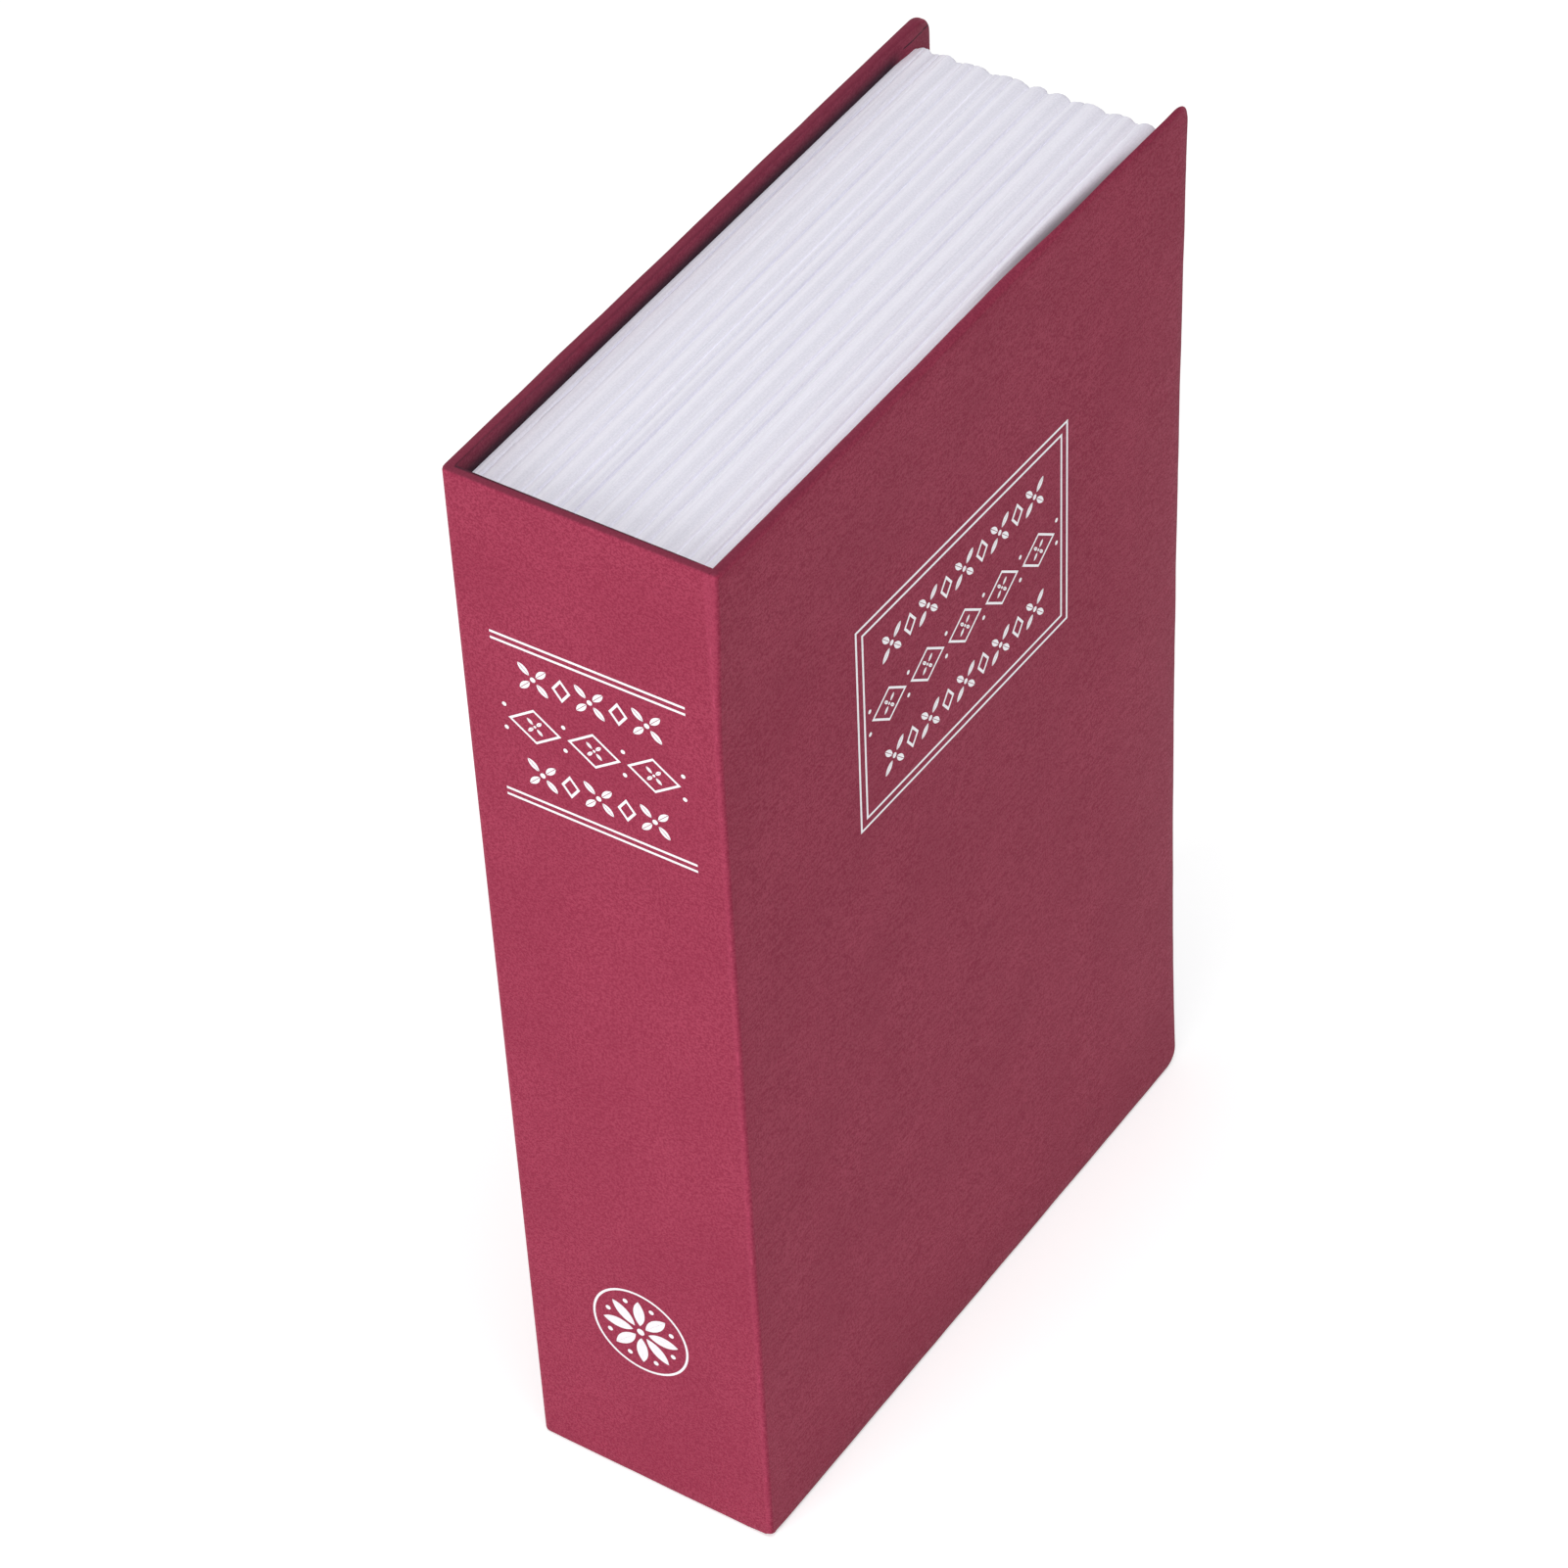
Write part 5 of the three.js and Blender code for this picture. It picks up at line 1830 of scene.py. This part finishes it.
@dataclass
class FoilWork:
    """The foil on the front cover and on the spine.

    Rows of the binder's small tools fill both panels, and a rosette sits low on the spine.
    """

    line: float = 0.5
    thickness: float = 0.04
    cover_face: float = 24.8
    spine_face: float = -73.95
    border_low: Span = (-34.87, 151.45)
    border_high: Span = (32.63, 197.3)
    border_gap: float = 1.9
    cover_rows: Place = (187.3, 174.4, 161.5)
    cover_count: int = 5
    cover_turn: float = -0.75
    spine_low: float = -20.4
    spine_high: float = 18.5
    spine_rules: tuple[float, ...] = (208.3, 206.9, 173.0, 171.6)
    spine_rows: Place = (200.8, 190.0, 179.2)
    spine_count: int = 3
    spine_turn: float = 0.57
    small_pitch: float = 11.4
    large_pitch: float = 12.0
    rosette_place: Span = (-3.45, 43.4)
    petals: int = 8
    lean: FrontLean = field(default_factory=FrontLean)

    def rows(self, foil: FoilPress, middle: float, heights: Point, count: int) -> None:
        """Presses a row of wide lozenges between two rows of fleurons.

        Args:
            foil: The foil that they are pressed into.
            middle: Their middle across.
            heights: The three rows' heights, from the top.
            count: How many fleurons or lozenges a row has.
        """
        top, centre, bottom = heights
        foil.small_row(middle, top, self.small_pitch, count)
        foil.large_row(middle, centre, self.large_pitch, count)
        foil.small_row(middle, bottom, self.small_pitch, count)

    def cover(self, tools: HandTools) -> Shape:
        """The double border on the front cover and the rows inside it."""
        foil = FoilPress("front_foil", tools)
        gap = Vector((self.border_gap, self.border_gap))
        low, high = Vector(self.border_low), Vector(self.border_high)
        foil.border(low, high, self.line)
        foil.border(low + gap, high - gap, self.line)
        middle = (low.x + high.x) / 2
        self.rows(foil, middle, self.cover_rows, self.cover_count)
        turn = turned_about((middle, self.cover_rows[1], 0.0), math.radians(self.cover_turn))
        face = facing_front(self.cover_face)
        return foil.press(self.thickness, self.lean.matrix() @ face @ turn)

    def spine(self, tools: HandTools) -> Shape:
        """The double rules on the spine, the rows between them and the rosette below."""
        foil = FoilPress("spine_foil", tools)
        for height in self.spine_rules:
            foil.rule(self.spine_low, self.spine_high, height, self.line)
        middle = (self.spine_low + self.spine_high) / 2
        self.rows(foil, middle, self.spine_rows, self.spine_count)
        foil.rosette(*self.rosette_place, self.petals)
        face = Matrix(
            ((1, 0, 0, 0), (0, 0, -1, self.spine_face * MM), (0, 1, 0, 0), (0, 0, 0, 1))
        )
        turn = turned_about((middle, self.spine_rows[1], 0.0), math.radians(self.spine_turn))
        return foil.press(self.thickness, face @ turn)

    def build(self, finishes: Finishes) -> None:
        """Presses both pieces of foil.

        Args:
            finishes: The materials.
        """
        tools = HandTools(self.line)
        for foil, body in ((self.cover(tools), "front_cover"), (self.spine(tools), "root")):
            foil.dress(finishes.foil, "wrap")
            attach(foil.piece, body)
        tools.put_away()


class Side(Enum):
    """The block's leafed sides, each with a number of its own for its waves."""

    HEAD = 1.0
    TAIL = 2.0
    FORE = 3.0


@dataclass
class LeafBlock:
    """The moulded page block: leaves in bundles outside, and the pocket for the box inside."""

    bundles: LeafBundles = field(default_factory=LeafBundles)
    spine: float = -71.95
    fore_edge: float = 69.9
    low: float = 4.5
    high: float = 235.5
    corner_radius: float = 1.0
    corner_steps: int = 6
    across_cuts: int = 17
    run_cuts: int = 19
    rise_cuts: int = 31
    swell: float = 0.3
    fore_swell: float = 0.5
    fore_starts: tuple[float, ...] = (
        -25.45, -22.6, -17.4, -10.4, -2.2, 1.8, 6.1, 13.4, 19.3, 24.5
    )
    fore_crest: float = 0.58
    slim_width: float = 3.2
    crest_share: float = 0.34
    fall_share: float = 0.5
    valley: float = 0.3
    leaf_pitch: float = 1.15
    leaf_depth: float = 0.09
    leaf_swing: float = 0.12
    leaf_run: float = 90.0
    wander: float = 0.2
    wander_pitch: Span = (9.0, 70.0)
    fore_band: float = 9.0
    end_blend: float = 30.0
    notch: float = 0.42
    notch_width: float = 0.32
    notch_least: float = 0.25
    notch_swing: float = 1.5
    notch_fade: float = 0.6
    roll_off: float = 1.9
    roll_depth: Span = (0.3, 2.3)
    roll_run: Span = (5.0, 35.0)
    roll_end: float = 0.8
    roll_fade: Span = (50.0, 18.0)
    splay_band: float = 3.4
    rim: float = 0.26
    pocket_low: Place = (17.4, -62.55, 12.4)
    pocket_high: Place = (24.6, 62.6, 227.6)
    pocket_radius: float = 3.0
    hole_low: Place = (-26.45, -62.55, 18.9)
    hole_high: Place = (24.6, 56.1, 221.1)
    channel_top: float = 15.4
    channel_spine: float = -69.95
    channel_fore: float = 66.7
    channel_wall: float = 2.8
    collar: float = 1.6
    rivet_radius: float = 1.82
    rivet_depth: float = -1.45
    rivet_reach: float = 4.0
    rivet_ends: Span = (-36.3, 33.7)

    def __post_init__(self) -> None:
        """Works out where each bundle of leaves begins."""
        self.starts = self.bundles.starts()
        self.back, self.front = self.bundles.back, self.bundles.front

    def bundle_at(self, x: float) -> tuple[int, float, float]:
        """Which bundle a level is in, its width and the level's share of the way through it."""
        index = 0
        while index < len(self.starts) - 2 and self.starts[index + 1] < x:
            index += 1
        first, last = self.starts[index], self.starts[index + 1]
        return index, last - first, min(1.0, max(0.0, (x - first) / (last - first)))

    def hump(self, share: float, width: float) -> float:
        """The height of a bundle's rounded edge: quick up to its crest, and slow after it.

        Args:
            share: The share of the way through the bundle.
            width: The bundle's width.

        Returns:
            The height, as a share of the swell.
        """
        size = min(1.0, width / self.slim_width) ** 0.7
        if share < self.crest_share:
            return size * math.sin(math.pi / 2 * share / self.crest_share) ** 0.7
        after = (share - self.crest_share) / (1.0 - self.crest_share)
        slope = 1.0 - self.fall_share * after ** 1.6
        close = eased((1.0 - share) * width / self.valley)
        return size * slope * close

    def fore_wave(self, x: float) -> float:
        """How far the fore edge's own long soft waves lie in at a level."""
        for first, last in zip(self.fore_starts, self.fore_starts[1:]):
            if x <= last:
                share = min(1.0, max(0.0, (x - first) / (last - first)))
                turn = share ** (math.log(0.5) / math.log(self.fore_crest))
                return self.fore_swell * (1.0 - math.sin(math.pi * turn) ** 0.8)
        return self.fore_swell

    def sunk(self, x: float, run: float, side: Side) -> float:
        """How far the surface lies in from the block's largest outline.

        Args:
            x: The level in the block's thickness.
            run: The place along the leaves.
            side: The side of the block.

        Returns:
            The depth.
        """
        across, along = self.wander_pitch
        drift = noise.noise(Vector((x / across, run / along, side.value * 5))) * self.wander
        y = self.fore_edge if side is Side.FORE else run
        index, width, share = self.bundle_at(x + drift)
        leaf = share * max(1, round(width / self.leaf_pitch))
        within = abs(2 * (leaf - math.floor(leaf)) - 1)
        own = noise.noise(Vector(
            (index * 3.7 + math.floor(leaf) * 1.9, run / self.leaf_run, side.value * 9)
        ))
        at_fore = eased((y - self.fore_edge + self.fore_band) / self.fore_band)
        hump = 1.0 if index == 0 else self.hump(share, width)
        depth = self.swell * (1.0 - hump) * (1.0 - at_fore / 2)
        depth += self.fore_wave(x + drift + self.splayed(x, y)) * at_fore
        depth += self.leaf_depth * (0.6 + own) * within ** 4
        depth += self.leaf_swing * max(0.0, own)
        gap = min(share, 1.0 - share) * width / self.notch_width
        edge = index if share < 0.5 else index + 1
        swing = noise.noise(Vector((edge * 2.3, 7.1, 0.5))) * self.notch_swing
        strength = self.notch_least + max(0.0, swing)
        if edge > 0:
            notch = self.notch * strength * max(0.0, 1.0 - gap)
            depth += notch * (1.0 - at_fore * self.notch_fade)
        near, far = self.roll_depth
        roll = near + (far - near) * eased_from(y, *self.roll_run)
        roll *= 1.0 - self.roll_end * eased_from(y, *self.roll_fade)
        depth += roll * max(0.0, (x - self.front + self.roll_off) / self.roll_off) ** 2
        return max(0.0, depth)

    def splayed(self, x: float, y: float) -> float:
        """How far the last leaves lean out with the cover, most at the fore edge.

        Args:
            x: The level in the block's thickness.
            y: The place towards the fore edge.

        Returns:
            The shift across.
        """
        band = eased((x - self.front + self.splay_band) / self.splay_band)
        start = self.bundles.splay_start
        return self.bundles.splay * band * eased_from(y, start, self.fore_edge - start)

    def leafed(self, spot: Vector) -> Vector:
        """Presses the leaves into a corner of the block's head, tail or fore edge.

        Args:
            spot: A corner of the plain block.

        Returns:
            Its place among the leaves.
        """
        near = self.corner_radius + TOUCH
        at_fore = spot.y > self.fore_edge - near
        at_head = spot.z > self.high - near
        at_tail = spot.z < self.low + near
        at_spine = spot.y < self.spine + TOUCH
        if not (at_fore or at_head or at_tail):
            return spot
        edge_of_head = abs(spot.z - self.high) < TOUCH or abs(spot.z - self.low) < TOUCH
        if not (abs(spot.y - self.fore_edge) < near or edge_of_head):
            return spot
        if at_head or at_tail:
            run = self.fore_edge if at_fore else spot.y
            depth = self.sunk(spot.x, run, Side.HEAD if at_head else Side.TAIL)
        else:
            blend = eased(min(spot.z - self.low, self.high - spot.z) / self.end_blend)
            own = self.sunk(spot.x, spot.z, Side.FORE)
            nearer = Side.HEAD if spot.z > HALF_HEIGHT else Side.TAIL
            end = self.sunk(spot.x, self.fore_edge, nearer)
            depth = end + (own - end) * blend
        moved = spot.copy()
        if spot.x < self.back + TOUCH:
            moved.x -= self.rim
        if at_fore:
            moved.y -= depth
        if at_head and not (at_spine and spot.z < self.high - TOUCH):
            moved.z -= depth
        if at_tail and not (at_spine and spot.z > self.low + TOUCH):
            moved.z += depth
        return moved

    def plain_block(self) -> Shape:
        """The block before the leaves are pressed in, cut into fine fields."""
        block = Shape.block(
            "leaf_block", (self.back, self.spine, self.low),
            (self.front, self.fore_edge, self.high),
        )
        block.bevel(fore_corner, self.corner_radius, self.corner_steps)
        for _ in range(2):
            block.subdivide(lambda spot: abs(spot.way.x) > ALONG, self.across_cuts)
        block.subdivide(lambda spot: abs(spot.way.y) > ALONG, self.run_cuts)
        block.subdivide(lambda spot: abs(spot.way.z) > ALONG, self.rise_cuts)
        return block

    def cutters(self) -> list[Shape]:
        """What is cut out of the block: the pocket, the hole, the channels and rivet holes."""
        pocket = Shape.block("pocket_cutter", self.pocket_low, self.pocket_high)
        pocket.bevel(fore_corner, self.pocket_radius, self.corner_steps)
        hole = Shape.block("hole_cutter", self.hole_low, self.hole_high)
        start, spine, low = self.hole_low
        _, fore, high = self.hole_high
        ends = (self.low + self.channel_wall, self.high - self.channel_wall)
        spans = (
            ((self.channel_spine, high + self.collar), (self.channel_fore, ends[1])),
            ((self.channel_spine, ends[0]), (self.channel_fore, low - self.collar)),
            ((fore + self.collar, low), (self.channel_fore, high)),
            ((self.channel_spine, low), (spine - self.collar, high)),
        )
        channels = [
            Shape.block("channel_cutter", (start, *first), (self.channel_top, *last))
            for first, last in spans
        ]
        rivets = [
            Shape.rod(
                "rivet_cutter", self.rivet_radius,
                (self.rivet_depth, y, z - self.rivet_reach),
                (self.rivet_depth, y, z + self.rivet_reach), 24,
            )
            for y in self.rivet_ends for z in (low, high)
        ]
        return [pocket, hole, *channels, *rivets]

    def build(self, finishes: Finishes) -> None:
        """Makes the block.

        Args:
            finishes: The materials.
        """
        block = self.plain_block()
        block.nudge(self.leafed)
        block.nudge(lambda spot: spot + Vector((self.splayed(spot.x, spot.y), 0.0, 0.0)))
        block.subtract(*self.cutters())
        block.dress(finishes.leaves, "pages", "page_frame")
        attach(block.piece, "root")


@dataclass(frozen=True)
class Fitting:
    """A small metal part, taken from its CAD solid, with its edges eased."""

    node: str
    name: str
    body: str
    slot: str
    ease: float

    def build(self, material: Material) -> None:
        """Makes the part.

        Args:
            material: Its finish.
        """
        shape = Shape.copy_of_node(self.name, self.node)
        shape.ease_edges(self.ease)
        shape.dress(material, self.slot, self.node)
        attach(shape.piece, self.body)


@dataclass
class SteelBox:
    """The powder-coated steel box, its keeper and the rivets that hold it."""

    sheet_ease: float = 0.18
    rivet_ease: float = 0.12
    rivets: int = 4

    def build(self, finishes: Finishes) -> None:
        """Makes the box and its fittings.

        Args:
            finishes: The materials.
        """
        coated = ("root", "box_steel", self.sheet_ease)
        Fitting("box_floor", "floor_plate", *coated).build(finishes.coat)
        Fitting("box_walls", "wall_ring", *coated).build(finishes.coat)
        plated = ("root", "plated_steel", self.rivet_ease)
        Fitting("latch_keeper", "keeper", *plated).build(finishes.zinc)
        for number in range(1, self.rivets + 1):
            Fitting(f"box_rivet_{number}", f"blind_rivet_{number}", *plated).build(finishes.zinc)


@dataclass
class LidAndHinge:
    """The lid, turned back under itself at three edges, and its piano hinge."""

    sheet_ease: float = 0.25
    leaf_ease: float = 0.12
    rivet_ease: float = 0.12
    rivets: int = 4

    def build(self, finishes: Finishes) -> None:
        """Makes the lid, the two leaves, the pin and the rivets.

        Args:
            finishes: The materials.
        """
        Fitting("lid_panel", "lid_sheet", "lid", "box_steel", self.sheet_ease).build(finishes.coat)
        for node, name, body in (
            ("box_hinge_leaf", "fixed_leaf", "root"), ("lid_hinge_leaf", "moving_leaf", "lid")
        ):
            Fitting(node, name, body, "box_steel", self.leaf_ease).build(finishes.coat)
        Fitting("hinge_pin", "pin", "root", "plated_steel", self.rivet_ease).build(finishes.zinc)
        for number in range(1, self.rivets + 1):
            for side, body in (("box", "root"), ("lid", "lid")):
                Fitting(
                    f"{side}_hinge_rivet_{number}", f"{side}_leaf_rivet_{number}",
                    body, "plated_steel", self.rivet_ease,
                ).build(finishes.zinc)


@dataclass
class CamLock:
    """The cam lock in the lid: housing, nut and washer, plug with its wafers, and the cam."""

    head_ease: float = 0.22
    small_ease: float = 0.1
    wafers: int = 4

    def build(self, finishes: Finishes) -> None:
        """Makes the lock.

        Args:
            finishes: The materials.
        """
        parts = (
            ("lock_housing", "housing", "lid", "lock_chrome", self.head_ease, finishes.chrome),
            ("lock_washer", "washer", "lid", "plated_steel", self.small_ease, finishes.zinc),
            ("lock_nut", "nut", "lid", "lock_chrome", self.head_ease, finishes.chrome),
            ("lock_plug", "plug", "lock_core", "lock_chrome", self.small_ease, finishes.chrome),
            ("lock_cam", "cam", "lock_core", "plated_steel", self.head_ease, finishes.zinc),
            ("cam_screw", "screw", "lock_core", "plated_steel", self.small_ease, finishes.zinc),
        )
        for node, name, body, slot, ease, material in parts:
            Fitting(node, name, body, slot, ease).build(material)
        for number in range(1, self.wafers + 1):
            Fitting(
                f"lock_wafer_{number}", f"wafer_{number}", "wafer_pack", "wafer_brass",
                self.small_ease,
            ).build(finishes.brass)


@dataclass(frozen=True)
class Lamp:
    """A soft square light that looks at the middle of the book."""

    name: str
    place: Place
    size: float
    power: float
    colour: Colour = (1.0, 1.0, 1.0)

    def build(self, aim: Vector) -> None:
        """Hangs the light.

        Args:
            aim: What it looks at, in metres.
        """
        data = bpy.data.lights.new(self.name, "AREA")
        data.energy = self.power
        data.size = self.size
        data.color = self.colour
        lamp = bpy.data.objects.new(self.name, data)
        bpy.context.scene.collection.objects.link(lamp)
        lamp.location = self.place
        lamp.rotation_euler = (aim - lamp.location).to_track_quat("-Z", "Y").to_euler()


@dataclass
class Studio:
    """A pale floor, soft light from the spine's side and a white surround."""

    floor_half: float = 4.0
    floor_colour: Colour = (0.80, 0.80, 0.80)
    floor_glow: float = 0.5
    surround: float = 0.36
    aim: Place = (0.0, 0.0, 0.12)
    lamps: tuple[Lamp, ...] = (
        Lamp("key_lamp", (-0.35, -1.5, 0.55), 0.9, 11.5),
        Lamp("top_lamp", (0.2, -0.25, 1.55), 0.8, 8.9),
        Lamp("fill_lamp", (1.5, 0.4, 1.0), 1.4, 1.9),
    )

    def seen(self, wiring: Wiring) -> Socket:
        """1 for what the camera, a mirror or glass sees, and 0 for light that lands."""
        path = wiring.node("ShaderNodeLightPath")
        glossy = wiring.most(path.outputs["Is Camera Ray"], path.outputs["Is Glossy Ray"])
        return wiring.most(glossy, path.outputs["Is Transmission Ray"])

    def floor(self) -> None:
        """Lays the floor, whose white comes from a glow that only the camera sees."""
        bpy.ops.mesh.primitive_plane_add(size=2 * self.floor_half)
        ground = bpy.context.object
        ground.name = "floor"
        material = bpy.data.materials.new("pale_floor")
        material.use_nodes = True
        wiring = Wiring(material.node_tree)
        shader = material.node_tree.nodes["Principled BSDF"]
        for socket, value in (
            ("Base Color", (*self.floor_colour, 1.0)),
            ("Roughness", 0.9),
            ("Specular IOR Level", 0.1),
            ("Emission Color", (1.0, 1.0, 1.0, 1.0)),
            ("Emission Strength", wiring.times(self.seen(wiring), self.floor_glow)),
        ):
            wiring.feed(shader.inputs[socket], value)
        ground.data.materials.append(material)

    def world(self) -> None:
        """Sets an even white world that looks white and lights softly."""
        scene = bpy.context.scene
        scene.world = bpy.data.worlds.new("studio_world")
        scene.world.use_nodes = True
        wiring = Wiring(scene.world.node_tree)
        background = scene.world.node_tree.nodes["Background"]
        background.inputs["Color"].default_value = (1.0, 1.0, 1.0, 1.0)
        wiring.feed(
            background.inputs["Strength"],
            wiring.remap(self.seen(wiring), 0.0, 1.0, self.surround, 1.0),
        )

    def build(self) -> None:
        """Sets up floor, world and lamps."""
        self.floor()
        self.world()
        for lamp in self.lamps:
            lamp.build(Vector(self.aim))
        bpy.context.scene.view_settings.view_transform = "Standard"


@dataclass
class Viewpoint:
    """The camera that the book was photographed with."""

    aim: Place = (-0.011378, -0.004911, 0.121806)
    distance: float = 0.986427
    azimuth: float = 35.08245
    elevation: float = 43.05698
    roll: float = -3.17582
    lens: float = 123.7234

    def build(self) -> None:
        """Places the camera."""
        turn, rise = math.radians(self.azimuth), math.radians(self.elevation)
        back = Vector(
            (math.sin(turn) * math.cos(rise), -math.cos(turn) * math.cos(rise), math.sin(rise))
        )
        data = bpy.data.cameras.new("camera")
        data.lens = self.lens
        data.sensor_width = 36.0
        data.clip_start = 0.05
        data.clip_end = 50.0
        camera = bpy.data.objects.new("camera", data)
        bpy.context.scene.collection.objects.link(camera)
        camera.location = Vector(self.aim) + back * self.distance
        level = (-back).to_track_quat("-Z", "Y")
        camera.rotation_mode = "QUATERNION"
        camera.rotation_quaternion = level @ Quaternion(
            (0.0, 0.0, 1.0), math.radians(self.roll)
        )
        bpy.context.scene.camera = camera


def main() -> None:
    """Builds the book safe, the floor, the light and the camera."""
    logging.basicConfig(level=logging.INFO, format="%(name)s %(message)s")
    noise.seed_set(NOISE_SEED)
    finishes = Finishes()
    Viewpoint().build()
    Studio().build()
    BookCase().build(finishes)
    FoilWork().build(finishes)
    LeafBlock().build(finishes)
    SteelBox().build(finishes)
    LidAndHinge().build(finishes)
    CamLock().build(finishes)


if __name__ == "__main__":
    main()
